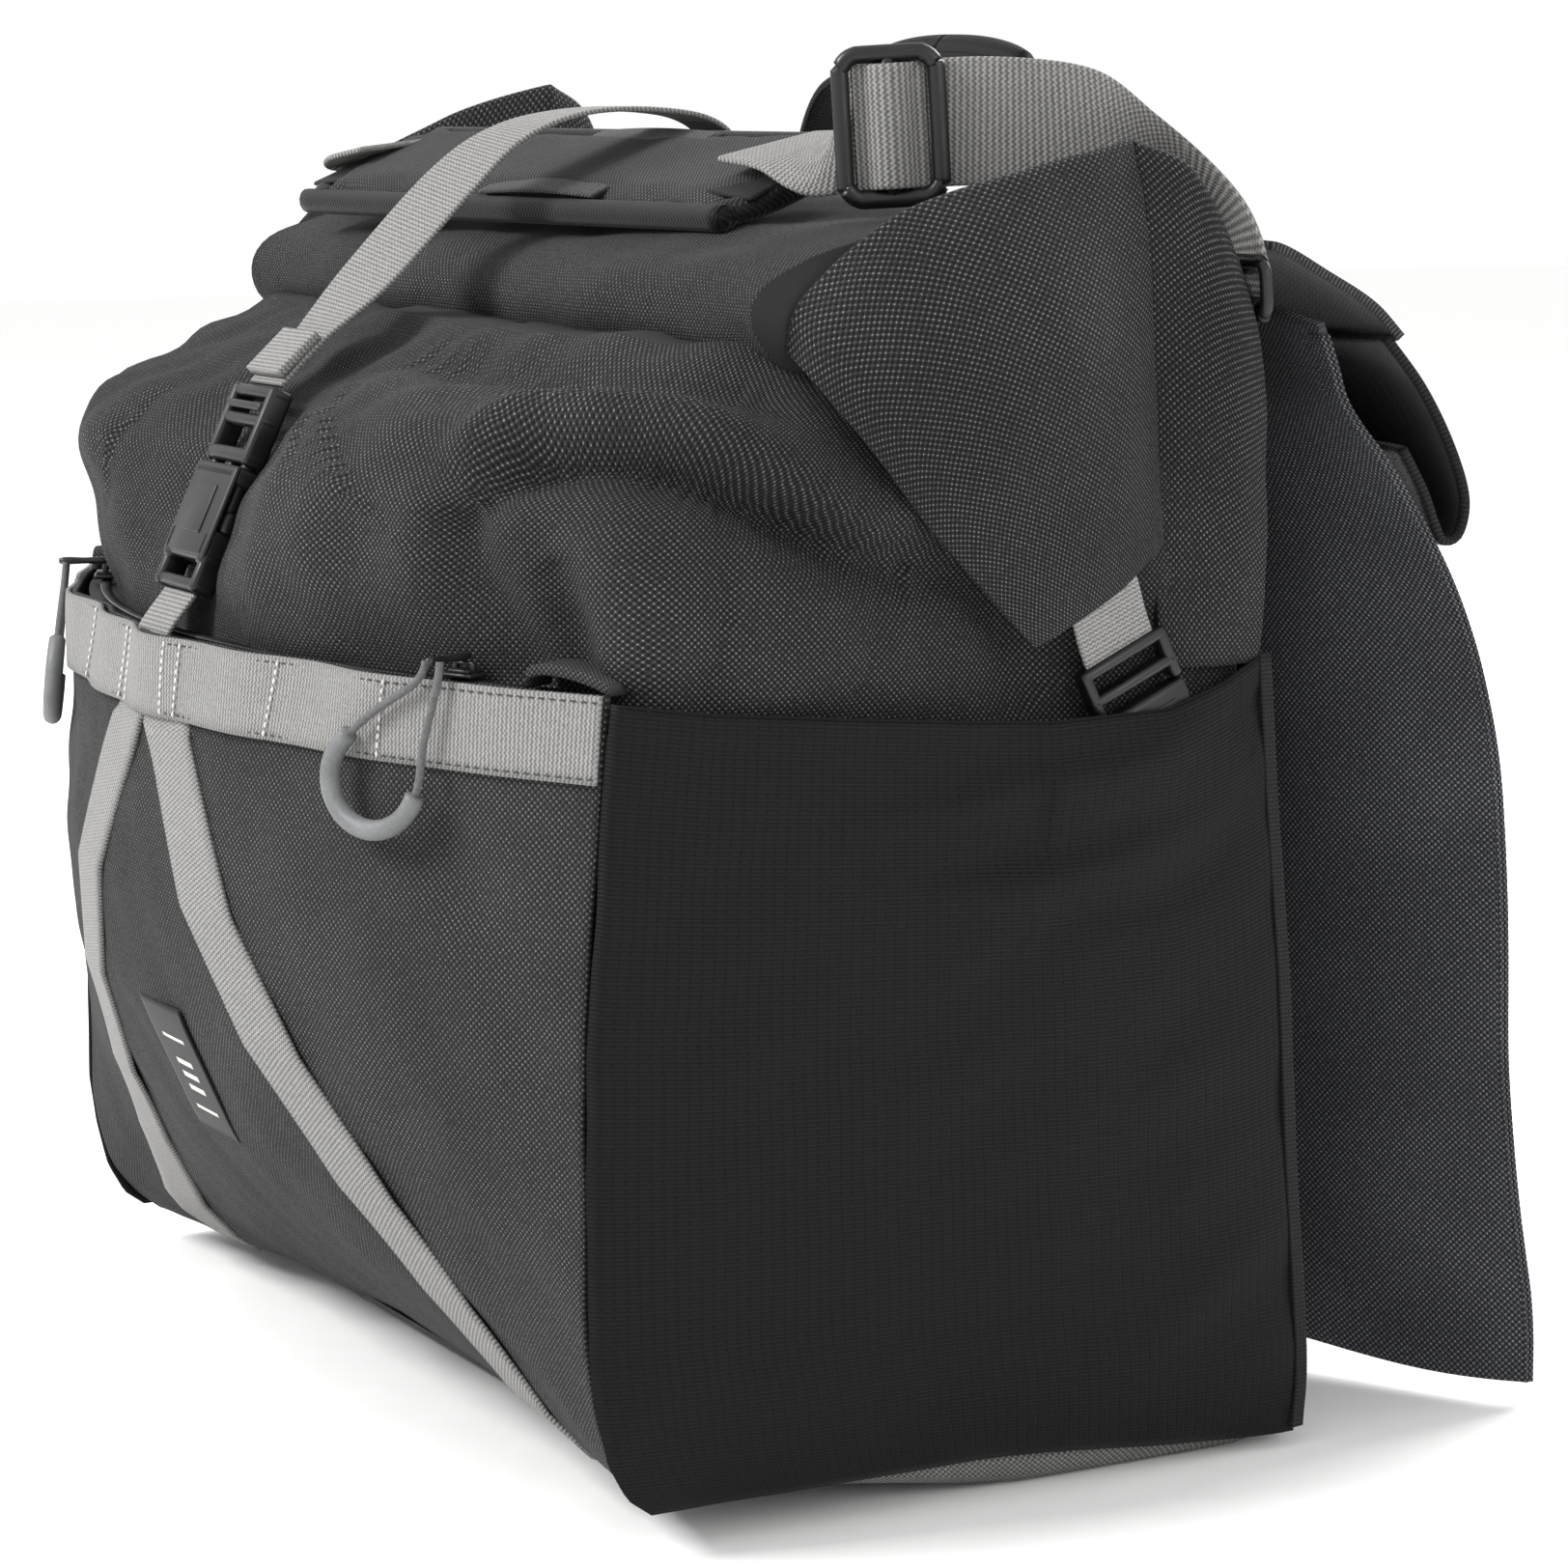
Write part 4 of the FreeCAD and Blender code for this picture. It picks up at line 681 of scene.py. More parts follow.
def pocket_grid(lift=0.0, low=4.0, high=250.0, left=-203.0, right=203.0, rows=110, cols=170):
    """Outer face of the front pocket, or a layer lift outside it, over a stretch of width and height."""
    heights = np.linspace(low, high, rows)
    half, corner, middle = between(POCKET_LEVELS, heights)
    share = np.linspace(left / 203, right / 203, cols)
    grid = []
    for z, h, c, m in zip(heights, half, corner, middle):
        x = share * h
        y = arc_y(x, h, c, m)
        y -= slack_at(x, z)
        grid.append(np.column_stack([x, y, np.full(cols, z)]))
    grid = soften(np.array(grid), 2.0, 0, False) if rows > 12 else np.array(grid)
    return grid + np.array([0, -1, 0]) * lift


def slack_at(x, z):
    """How far the pocket's mouth stands forward between the rows of tacks."""
    droop = step(205, 250, z)
    scallop = 2.6 * np.sin((x + 24) / 23.0) + 1.6 * np.sin(x / 9.5 + 1.0)
    return droop * scallop * (1 - step(150, 203, np.abs(x)))


# ------------------------------------------------------------------ operators


class BagStep:
    """What each building step shares."""

    bl_options = {"REGISTER", "UNDO"}

    def execute(self, context):
        self.build(context)
        return {"FINISHED"}


class BAG_OT_body(BagStep, bpy.types.Operator):
    """Builds the bag's main cloth with its folds, and the base"""

    bl_idname = "bag.body"
    bl_label = "Main cloth"

    def build(self, context):
        grid = body_grid(14.0)
        normals = grid_normals(grid, True)
        for path, height, width in FOLDS:
            grid = fold(grid, normals, path, height, width)
        loose = step(225, 260, grid[..., 2:3])
        grid = grid + (ripple(grid, normals, 1.3, 34, 5) - grid) * loose
        n, m = grid.shape[:2]
        caps = [range(m), range((n - 1) * m, n * m)]
        cloth = outwards(mesh_piece("main_cloth", [(grid, True)], MATERIALS["cloth"], caps))
        place(cloth, "bag", "main_fabric", "main_shell", "waterproof_lining")
        self.base()

    def base(self):
        """The light base cloth, turned up a little round its edge."""
        heights = (0.0, 0.6, 3.0, 8.0, 12.0)
        half, back, front = (193, 197, 200, 202, 201), (113, 119, 123, 125, 124), (58, 62, 66, 70, 72)
        rows = []
        for z, h, b, f in zip(heights, half, back, front):
            ring = [(-h, -f, z), (0, -f - 5, z), (h, -f, z), (h, b, z), (0, b, z), (-h, b, z)]
            corners = []
            for i, p in enumerate(ring):
                q = np.array(ring[(i + 1) % 6], float)
                corners += [np.array(p) + (q - p) * t for t in np.linspace(0, 1, 40, endpoint=False)]
            rows.append(corners)
        grid = soften(np.array(rows, float), 2.0, 1, True)
        grid[..., 2] += 10 * step(40, -55, grid[..., 1])
        m = grid.shape[1]
        base = mesh_piece("base_cloth", [(grid, True)], MATERIALS["base"], [range(m), range(4 * m, 5 * m)])
        place(outwards(base), "bag", "base_fabric", "base_panel")


class BAG_OT_front(BagStep, bpy.types.Operator):
    """Builds the front pocket, its webbing, straps and label"""

    bl_idname = "bag.front"
    bl_label = "Front pocket"

    def build(self, context):
        grid = pocket_grid(0.0, 11.5)
        normals = -grid_normals(grid, False)
        if normals[60, 80, 1] > 0:
            normals = -normals
        wrinkles = (
            (((105, -130, 84), (154, -112, 61), (190, -108, 40)), 2.6, 7),
            (((90, -140, 110), (140, -128, 88), (186, -114, 74)), -2.2, 8),
            (((60, -150, 96), (120, -132, 66), (160, -118, 40)), -1.6, 8),
            (((-105, -130, 84), (-154, -112, 61), (-190, -108, 40)), 2.4, 8),
            (((150, -138, 210), (176, -126, 170), (190, -120, 130)), -1.8, 14),
        )
        for path, height, width in wrinkles:
            grid = fold(grid, normals, path, height, width)
        grid = ripple(grid, normals, 0.5, 30, 11)
        panel = mesh_piece("front_pocket_cloth", [(grid, False)], MATERIALS["pocket"])
        place(thicken(panel, 1.8), "bag", "main_fabric", "front_pocket_panel")
        self.mouth_band()
        self.straps()
        self.label()

    def mouth_band(self):
        """25 mm webbing sewn round the mouth in shallow loops."""
        x = np.linspace(-203, 203, 240)
        sections = []
        for share in np.linspace(-0.5, 0.5, 7):
            z = np.full(len(x), 237.5 + 25 * share)
            half, corner, middle = between(POCKET_LEVELS, z)
            loops = 0.9 * np.abs(np.sin((np.abs(x) - 26) / 52 * np.pi)) * (np.abs(x) < 132)
            y = arc_y(x, half, corner, middle) - slack_at(x, z) - 1.9 - loops
            sections.append(np.column_stack([x, y, z]))
        grid = np.transpose(np.array(sections), (1, 0, 2))
        band = mesh_piece("mouth_webbing_band", [(grid, False)], MATERIALS["webbing"])
        place(thicken(band, 1.7), "bag", "light_webbing", "mouth_webbing")

    def straps(self):
        for name, s in SIDES:
            rows = []
            for t in np.linspace(0, 1, 90):
                x = 8 + t * (152 - 8)
                z = 236 - t * (236 - 14)
                lean = unit((152 - 8, 0, -(236 - 14)))
                across = np.array([-lean[2], 0, lean[0]])
                row = []
                for w in np.linspace(-12.5, 12.5, 7):
                    px, pz = x + across[0] * w, z + across[2] * w
                    half, corner, middle = (float(v) for v in between(POCKET_LEVELS, pz))
                    lift = 2.0 if pz < 222 else 0.8
                    row.append((s * px, arc_y(px, half, corner, middle) - slack_at(s * px, pz) - lift, pz))
                rows.append(row)
            strap = mesh_piece(f"diagonal_webbing_{name}", [(np.array(rows), False)], MATERIALS["webbing"])
            place(thicken(strap, 1.5), "bag", "light_webbing", f"diagonal_strap_{name}")

    def label(self):
        grid = pocket_grid(1.4, 88, 132, -17, 17, 24, 20)
        label = mesh_piece("woven_label_patch", [(grid, False)], MATERIALS["label"])
        place(thicken(label, 0.8), "bag", "label", "woven_label")


class BAG_OT_side_pockets(BagStep, bpy.types.Operator):
    """Builds the stretch pockets on both sides, their bindings and the corner tabs"""

    bl_idname = "bag.side_pockets"
    bl_label = "Side pockets"

    def build(self, context):
        for name, s in SIDES:
            self.pocket(name, s)
            self.trim(name, s)

    def pocket(self, name, s):
        across = np.linspace(0, 1, 90)
        grid = []
        for v in np.linspace(0, 1, 96):
            top = between(MESH_TOP, -110 + across * 218)[0]
            foot_z = 12.5 - 8 * step(0.45, 1.0, across)
            z = foot_z + (top - foot_z) * v
            front, back = (between(edge, z)[0] for edge in (MESH_FRONT, MESH_BACK))
            y = front + (back - front) * across
            belly = np.minimum(1, np.sin(np.pi * across) ** 0.55 * 1.05)
            foot = np.sin(np.clip(v / 0.16, 0, 1) * np.pi / 2) ** 0.6
            x = 204.4 + 9.2 * belly * foot + 1.2 * np.sin(np.pi * v) * belly
            grid.append(np.column_stack([x, y, z]))
        grid = np.array(grid)
        out = np.broadcast_to(np.array([1.0, 0, 0]), grid.shape)
        creases = (
            (((214, 96, 232), (214, 64, 223), (214, 9, 214), (214, -44, 206)), 2.2, 6),
            (((214, 104, 224), (214, 76, 219), (214, 48, 214), (214, 24, 212)), 4.2, 17),
            (((214, 60, 204), (214, 30, 197), (214, 10, 195), (214, -20, 193)), -1.8, 6),
            (((214, 98, 206), (214, 70, 196), (214, 30, 188), (214, -14, 186)), 2.2, 7),
            (((214, 98, 190), (214, 66, 180), (214, 24, 174)), -2.0, 8),
            (((214, -108, 60), (214, -70, 46), (214, -30, 40)), 1.6, 9),
            (((214, 116, 70), (214, 80, 50), (214, 40, 42)), 1.6, 9),
        )
        for path, height, width in creases:
            grid = fold(grid, out, path, height, width, 0.0)
        grid = ripple(grid, out, 0.5, 40, 21)
        hem = step(0.955, 0.965, np.linspace(0, 1, 96))[:, None, None]
        grid = grid + out * hem * 0.7
        grid[..., 0] *= s
        wall = mesh_piece(f"stretch_pocket_{name}", [(grid, False)], MATERIALS["mesh"])
        place(thicken(wall, 1.2), "bag", "mesh", f"mesh_pocket_{name}")

    def trim(self, name, s):
        """Binding down the pocket's rear edge and the folded tab at the lower corner."""
        out = (1, 0.25, 0)
        line = [((205.5, y + 0.5, z), (0.2, -1, 0), out) for z, y in MESH_BACK]
        edge = ribbon(f"rear_binding_{name}", line, 5.0, 2.2, MATERIALS["tape"], 60, s < 0)
        place(edge, "bag", "black_webbing", f"back_edge_binding_{name}")
        loop = [((190, 112, 5.2), (1, 0, 0), (0, 0, -1))]
        for t in np.linspace(-0.5 * np.pi, 0.75 * np.pi, 7):
            c, d = math.cos(t), math.sin(t)
            loop.append(((190, 126 + 4.6 * c, 9.5 + 4.6 * d), (1, 0, 0), (0, c, d)))
        tab = ribbon(f"corner_loop_{name}", loop, 15.0, 1.7, MATERIALS["tape"], 40, s < 0)
        place(tab, "bag", "black_webbing", f"corner_tab_{name}")


# Section of the roll, as y and z.
ROLL_SECTION = (
    (-44, 336), (-57, 343), (-61, 352), (-57, 361), (-42, 368.5), (-14, 375.5), (25, 380.5), (58, 381.5),
    (80, 380.5), (93, 368), (92, 350), (80, 340), (20, 338),
)  # fmt: skip

# Edges of the ear's outer face. Each list runs from the top, or from the front, to the other end.
EAR_FRONT = ((191, -46, 342), (200, -43, 334), (208, -33, 320), (212, -12, 293), (212, 24, 256))
EAR_TOP = ((191, -46, 342), (193, -42, 358), (196, -16, 381), (198, 26, 394), (196, 66, 402))
EAR_CREASE = ((196, 66, 402), (200, 69, 366), (201, 71, 333), (203, 71, 305), (208, 70, 283))
EAR_FOOT = ((212, 24, 255), (214, 46, 268), (208, 70, 283))
REAR_TOP = ((196, 66, 402), (200, 84, 393), (204, 98, 366))
REAR_LEFT = ((196, 66, 402), (199, 68, 366), (199, 70, 333), (200, 71, 305), (203, 72, 246))
REAR_EDGE = ((204, 98, 366), (207, 105, 338), (206, 108, 300), (205, 107, 246))
REAR_FOOT = ((203, 72, 246), (205, 90, 246), (205, 107, 246))
INNER_LINE = (
    (184, -46, 343), (181, -36, 360), (181, -10, 374), (182, 30, 377), (182, 64, 378), (184, 80, 376),
    (190, 92, 360),
)  # fmt: skip


def coons(top, foot, left, right, cols, rows):
    """A smooth patch between four edge curves."""
    t, f = smooth_path(top, cols), smooth_path(foot, cols)
    a, b = smooth_path(left, rows), smooth_path(right, rows)
    u, v = np.linspace(0, 1, cols)[None, :, None], np.linspace(0, 1, rows)[:, None, None]
    flat = (1 - v) * ((1 - u) * t[0] + u * t[-1]) + v * ((1 - u) * f[0] + u * f[-1])
    return (1 - v) * t[None] + v * f[None] + (1 - u) * a[:, None] + u * b[:, None] - flat


class BAG_OT_roll(BagStep, bpy.types.Operator):
    """Builds the rolled collar and its two folded ears"""

    bl_idname = "bag.roll"
    bl_label = "Roll and ears"

    def build(self, context):
        section = smooth_path([(0, y, z) for y, z in ROLL_SECTION], 90, closed=True)[:, 1:]
        rows = []
        for x in np.linspace(-190, 190, 160):
            sag = 1.8 * np.sin(x / 47.0) + 1.2 * np.sin(x / 21.0 + 1)
            ring = section + (section - (20, 360)) * (-0.03 * abs(x / 190) ** 3)
            y = ring[:, 0] + sag * (ring[:, 0] < 0)
            rows.append(np.column_stack([np.full(len(ring), x), y, ring[:, 1]]))
        grid = soften(np.array(rows), 2.0, 1, True)
        normals = grid_normals(grid, True)
        if (normals[80] * (grid[80] - grid[80].mean(0))).sum() < 0:
            normals = -normals
        dents = (
            (((-12, -58, 366), (0, -58, 366), (12, -58, 366)), -1.8, 14),
            (((120, -58, 358), (160, -58, 352), (188, -54, 345)), -3, 9),
            (((60, -56, 372), (120, -54, 374), (170, -50, 374)), 2.0, 14),
            (((-188, -56, 350), (-120, -60, 360), (-60, -60, 356)), -2.5, 10),
        )
        for path, height, width in dents:
            grid = fold(grid, normals, path, height, width)
        grid = ripple(grid, normals, 0.7, 36, 3)
        n, m = grid.shape[:2]
        caps = [range(m), range((n - 1) * m, n * m)]
        roll = mesh_piece("rolled_collar", [(grid, True)], MATERIALS["cloth"], caps)
        place(outwards(roll), "bag", "main_fabric", "roll_top")
        for name, s in SIDES:
            self.ear(name, s)

    def ear(self, name, s):
        face = coons(EAR_TOP, EAR_FOOT, EAR_FRONT, EAR_CREASE, 56, 56)
        u, v = np.linspace(0, 1, 56)[None, :], np.linspace(0, 1, 56)[:, None]
        belly = np.sin(np.pi * np.clip(v * 0.85 + 0.15, 0, 1)) ** 0.7
        face[..., 0] += 12 * np.sin(np.pi * u**1.3) ** 0.8 * belly
        rear = coons(REAR_TOP, REAR_FOOT, REAR_LEFT, REAR_EDGE, 26, 56)
        w = np.linspace(0, 1, 26)[None, :]
        rear[..., 0] += 5 * np.sin(np.pi * w**1.6) * np.sin(np.pi * v) ** 0.5 * (1 - 0.4 * v)
        brim = np.concatenate([face[0], rear[0, 1:]])
        inner = smooth_path(INNER_LINE, len(brim))
        drop = np.linspace(0, 1, 16)[:, None, None]
        strip = brim[None] * (1 - drop) + inner[None] * drop
        strip[..., 2] -= 5 * np.sin(np.pi * drop[..., 0]) * np.sin(np.pi * np.linspace(0, 1, len(brim)))[None]
        parts = []
        for grid in (face, rear, strip):
            # The far ear stands taller than the near one.
            lift = 1 + (0.26 * step(372, 402, grid[..., 2]) if s < 0 else 0)
            grid = grid * np.array([float(s), 1.0, 1.0])
            grid[..., 2] = 340 + (grid[..., 2] - 340) * lift
            parts.append((ripple(grid, grid * 0 + (1, 0, 0), 0.7, 30, 31), False))
        ear = weld(mesh_piece(f"folded_ear_{name}", parts, MATERIALS["cloth"]), 0.2)
        ear = thicken(ear, 2.4, 0.0, 1)
        place(ear, "bag", "main_fabric", f"ear_{name}")


class BAG_OT_closure(BagStep, bpy.types.Operator):
    """Builds the closure strap, its stitched tab and the short strap below the buckle"""

    bl_idname = "bag.closure"
    bl_label = "Closure strap"

    def build(self, context):
        x = (1, 0, 0)
        low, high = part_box("closure_strap_lower")
        foot = np.array([0, (low.y + 0.0012) / MM, (low.z + 0.0006) / MM])
        path = [
            (foot, x, (0, -0.68, 0.73)),
            (foot + (0, 14, 13.5), x, (0, -0.68, 0.73)),
            ((0, -92, 359), (0.96, 0.19, -0.2), (0.28, -0.66, 0.71)),
            ((0, -64, 387), (0.96, 0.19, -0.2), (0.28, -0.62, 0.73)),
            ((0, -44, 402), (0.99, 0.05, -0.1), (0.1, -0.5, 0.86)),
            ((0, -20, 409), x, (0, -0.1, 1)),
            ((0, 8, 409.5), x, (0, 0.1, 1)),
            ((0, 27, 405), x, (0, 0.5, 0.86)),
            ((0, 41, 391), x, (0, 0.5, 0.86)),
            ((0, 60, 382.4), x, (0, 0.1, 1)),
        ]
        strap = ribbon("closure_webbing", path, 25, 1.7, MATERIALS["webbing"], 130)
        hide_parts("closure_strap", "closure_strap_lower")
        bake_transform(strap)
        out = np.array((0, -0.683, 0.73))
        root = foot + np.array((0, 1.4, 1.4)) + out * 3.0
        tab = [(root, x, out), (root + (0, 8, 7.4), x, out), (root + (0, 13, 12.1), x, out)]
        end = ribbon("folded_strap_end", tab, 26, 3.2, MATERIALS["webbing"], 24)
        place(end, "front_plug", "light_webbing", "strap_end_tab")
        low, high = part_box("buckle_anchor_strap")
        base = (0, low.y / MM + 0.9, low.z / MM - 6)
        tip = (0, high.y / MM - 0.6, high.z / MM)
        bend = (0, base[1] + 0.4, base[2] + 6)
        anchor = [(base, x, (0, -1, 0)), (bend, x, (0, -1, 0.1)), (tip, x, (0, -0.9, 0.42))]
        anchor = ribbon("buckle_anchor", anchor, 25, 1.7, MATERIALS["webbing"], 24)
        place(anchor, "bag", "light_webbing", "buckle_anchor_strap")


class BAG_OT_sling(BagStep, bpy.types.Operator):
    """Builds the shoulder strap, its pad, slide and rings"""

    bl_idname = "bag.sling"
    bl_label = "Shoulder strap"

    def build(self, context):
        self.webbing()
        self.pad()
        self.slide()

    def webbing(self):
        up = (0, 0, 1)
        out = (0.866, -0.5, 0)
        right = [
            ((88, 3, 399), (-0.12, 0.97, 0.2), (0.02, -0.2, 0.98)),
            ((108, 5, 398.5), (-0.15, 0.94, 0.3), (0.04, -0.3, 0.95)),
            ((122, 4, 399), (-0.2, 0.75, 0.63), (0.3, -0.6, 0.74)),
            ((132, 4, 404), (-0.05, 0.15, 1), out),
            ((141, 16, 405.5), up, out),
            ((156, 42, 407), up, out),
            ((170, 69, 404), (0, -0.12, 1), (0.83, -0.5, 0)),
            ((180, 88, 394), (0.4, -0.45, 0.8), (0.85, 0.1, -0.35)),
            ((185, 104, 378), (0.9, -0.2, 0.35), (0.3, 0.9, -0.1)),
            ((186, 108.5, 364), (1, 0, 0), (0, 1, 0.08)),
            ((186, 108.6, 354), (1, 0, 0), (0, 1, 0.08)),
        ]
        ring = ribbon("sling_right", right, 38, 1.9, MATERIALS["sling"], 120)
        place(ring, "bag", "light_webbing", "sling_webbing_right")
        left = [
            ((-128, -22, 397.5), (0.12, -0.97, -0.1), (0, -0.15, 1)),
            ((-150, -25, 394), (0.12, -0.97, -0.1), (0, -0.15, 1)),
            ((-164, -22, 390.5), (0.5, -0.85, -0.1), (0, -0.1, 1)),
            ((-167, -4, 388.4), (0.9, -0.42, -0.05), (0, -0.1, 1)),
            ((-168, 22, 385), (1, 0, 0), (0, 0, 1)),
            ((-168, 62, 384), (1, 0, 0), (0, 0, 1)),
            ((-168, 84, 385), (1, 0, 0), (0, 0.2, 1)),
            ((-178, 100, 383), (1, 0.05, 0.05), (0, 0.7, 0.7)),
            ((-185, 108, 374), (1, 0, 0), (0, 1, 0.1)),
            ((-186, 108.5, 364), (1, 0, 0), (0, 1, 0.08)),
            ((-186, 108.6, 354), (1, 0, 0), (0, 1, 0.08)),
        ]
        left = ribbon("sling_left", left, 38, 1.9, MATERIALS["sling"], 110)
        place(left, "bag", "light_webbing", "sling_webbing_left")
        for name, s in SIDES:
            low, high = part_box(f"strap_ring_{name}")
            mid = (np.array(low) + np.array(high)) / 2 / MM
            w, h = (high.x - low.x) / 2 / MM - 2, (high.z - low.z) / 2 / MM - 2
            ring = smooth_path(rounded_rectangle(mid, (1, 0, 0), (0, -0.078, 1), w, h, 4), 90, closed=True)
            wire = tube(f"ring_{name}", ring, 2.0, MATERIALS["plastic"], 10, True, 1.0, (0, 1, 0.078))
            place(wire, "bag", "acetal", f"strap_ring_{name}")
            low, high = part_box(f"ring_tab_{name}")
            y, top = (low.y + high.y) / 2 / MM, high.z / MM
            tab = [
                ((s * 186, y + 1.6, low.z / MM), (s, 0, 0), (0, 1, 0.08)),
                ((s * 186, y - 0.4, top - 2), (s, 0, 0), (0, 1, 0.08)),
                ((s * 186, mid[1] + 2.4, top + 1.5), (s, 0, 0), (0, 1, 0.2)),
                ((s * 186, mid[1] + 2.6, top + 5), (s, 0, 0), (0, 0.9, 0.5)),
                ((s * 186, mid[1], top + 7.2), (s, 0, 0), (0, 0, 1)),
                ((s * 186, mid[1] - 2.6, top + 4), (s, 0, 0), (0, -1, 0.2)),
            ]
            piece = ribbon(f"ring_keeper_{name}", tab, 36, 1.6, MATERIALS["tape"], 40)
            place(piece, "bag", "light_webbing", f"ring_tab_{name}")

    def pad(self):
        """Foam pad in cloth: blown up as cloth, then bound round its edge."""
        low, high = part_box("shoulder_pad")
        mid = (np.array(low) + np.array(high)) / 2 / MM - (0, 2, 4)
        along = unit((0.992, 0.125, 0.0))
        up = unit((0.03, -0.36, 0.93))
        across = unit(np.cross(up, along))
        half_long, half_wide, thick = 129, 29, 7.5
        corners = rounded_rectangle(mid, along, across, half_long, half_wide, 20)
        outline = smooth_path(corners, 120, closed=True)
        layers = ((-0.5, 0.02), (-0.5, 0.94), (-0.25, 0.99), (0, 1.0), (0.25, 0.99), (0.5, 0.94), (0.5, 0.02))
        rows = [mid + (outline - mid) * shrink + up * thick * level for level, shrink in layers]
        caps = [range(120), range(720, 840)]
        body = mesh_piece("pad_form", [(np.array(rows), True)], MATERIALS["pad"], caps)
        remesh = body.modifiers.new("Remesh", "REMESH")
        remesh.mode, remesh.voxel_size = "VOXEL", 4 * MM
        body = outwards(bake(body))
        inflate(body, 3.0 * MM)
        sub = body.modifiers.new("Subdivision", "SUBSURF")
        sub.levels = sub.render_levels = 1
        body = bake(body)
        body.name = "shoulder_pad_foam"
        body.data.polygons.foreach_set("use_smooth", np.ones(len(body.data.polygons), bool))
        flat_uv(body, mid, along, across)
        body.data.materials.clear()
        body.data.materials.append(MATERIALS["pad"])
        place(body, "bag", "pad_fabric", "shoulder_pad")
        rim = smooth_path(corners, 200, closed=True)
        edge = tube("pad_binding", rim, 4.4, MATERIALS["ribbed"], 12, True, 0.95, tuple(up))
        place(edge, "bag", "black_webbing")
        wrap = []
        for t in np.linspace(-1, 1, 9):
            crown = 5.6 - 1.2 * t * t
            wrap.append((mid + along * (18 + 34 * t) + up * crown, across, up))
        place(ribbon("pad_wrap", wrap, 54, 1.4, MATERIALS["twill"], 40), "bag", "pad_fabric")
        for end, s in (("near", 1), ("far", -1)):
            tip = []
            for t in range(3):
                tip.append((mid + along * s * (half_long - 22 + 12 * t) + up * (5.2 - 1.0 * t), across, up))
            place(ribbon(f"pad_end_{end}", tip, 44, 1.5, MATERIALS["tape"], 14), "bag", "black_webbing")

    def slide(self):
        low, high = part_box("strap_slide")
        mid = (np.array(low) + np.array(high)) / 2 / MM
        along, out = unit((0.5, 0.863, 0.06)), unit((0.866, -0.5, 0.0))
        up = np.cross(along, out)
        up = up if up[2] > 0 else -up
        rim = smooth_path(rounded_rectangle(mid, along, up, 14.4, 21.4, 6), 120, closed=True)
        parts = [tube("slide_rim", rim, 2.7, MATERIALS["plastic"], 12, True, 0.78, tuple(out))]
        bar = [mid + up * t for t in np.linspace(-21, 21, 8)]
        parts.append(tube("slide_bar", bar, 2.4, MATERIALS["plastic"], 12, False, 0.8, tuple(out)))
        place(joined("three_bar_slide", parts), "strap_slide_body", "acetal", "strap_slide")
        loop = []
        for a, h in ((-10.4, -2.0), (-7.4, -1.2), (-4.0, 2.4), (0, 3.6), (4.0, 2.4), (7.4, -1.2), (10.4, -2.0)):
            lean = a / 6.0
            loop.append((mid + along * a + out * h, up, out + along * lean))
        turn = ribbon("slide_turn", loop, 37, 1.6, MATERIALS["sling"], 40)
        place(turn, "strap_slide_body", "light_webbing", "slide_loop")


def rounded_rectangle(centre, x, y, half_x, half_y, radius):
    """Points round a rectangle with round corners, in the plane of unit vectors x and y."""
    x, y = unit(x), unit(y)
    points = []
    for sx, sy, start in ((1, 1, 0), (-1, 1, 90), (-1, -1, 180), (1, -1, 270)):
        for turn in (0, 15, 30, 45, 60, 75, 90):
            a = math.radians(start + turn)
            px = sx * (half_x - radius) + radius * math.cos(a)
            py = sy * (half_y - radius) + radius * math.sin(a)
            points.append(np.asarray(centre) + x * px + y * py)
    return points


def flat_uv(obj, origin, x, y):
    """UVs that lay cloth flat over a piece, seen along one direction."""
    mesh = obj.data
    for layer in list(mesh.uv_layers):
        mesh.uv_layers.remove(layer)
    co = np.zeros(len(mesh.vertices) * 3)
    mesh.vertices.foreach_get("co", co)
    rel = co.reshape(-1, 3) - np.asarray(origin) * MM
    corner = np.zeros(len(mesh.loops), int)
    mesh.loops.foreach_get("vertex_index", corner)
    uv = np.stack([rel @ np.asarray(x), rel @ np.asarray(y)], 1)[corner]
    mesh.uv_layers.new(name="cloth").data.foreach_set("uv", uv.ravel())


def inflate(obj, most):
    """Runs a short cloth simulation under pressure and keeps at most that much movement."""
    co = np.zeros(len(obj.data.vertices) * 3)
    obj.data.vertices.foreach_get("co", co)
    start = co.reshape(-1, 3).copy()
    cloth = obj.modifiers.new("Cloth", "CLOTH")
    cloth.settings.use_pressure = True
    cloth.settings.uniform_pressure_force = 4
    cloth.settings.effector_weights.gravity = 0
    cloth.settings.quality = 5
    scene = bpy.context.scene
    for number in range(1, 21):
        scene.frame_set(number)
    evaluated = obj.evaluated_get(bpy.context.evaluated_depsgraph_get())
    end = np.zeros(len(start) * 3)
    evaluated.data.vertices.foreach_get("co", end)
    move = end.reshape(-1, 3) - start
    far = np.linalg.norm(move, axis=1, keepdims=True)
    move *= np.minimum(1, most / np.maximum(far, 1e-9))
    obj.modifiers.remove(cloth)
    scene.frame_set(1)
    obj.data.vertices.foreach_set("co", (start + move).ravel())
    obj.data.update()


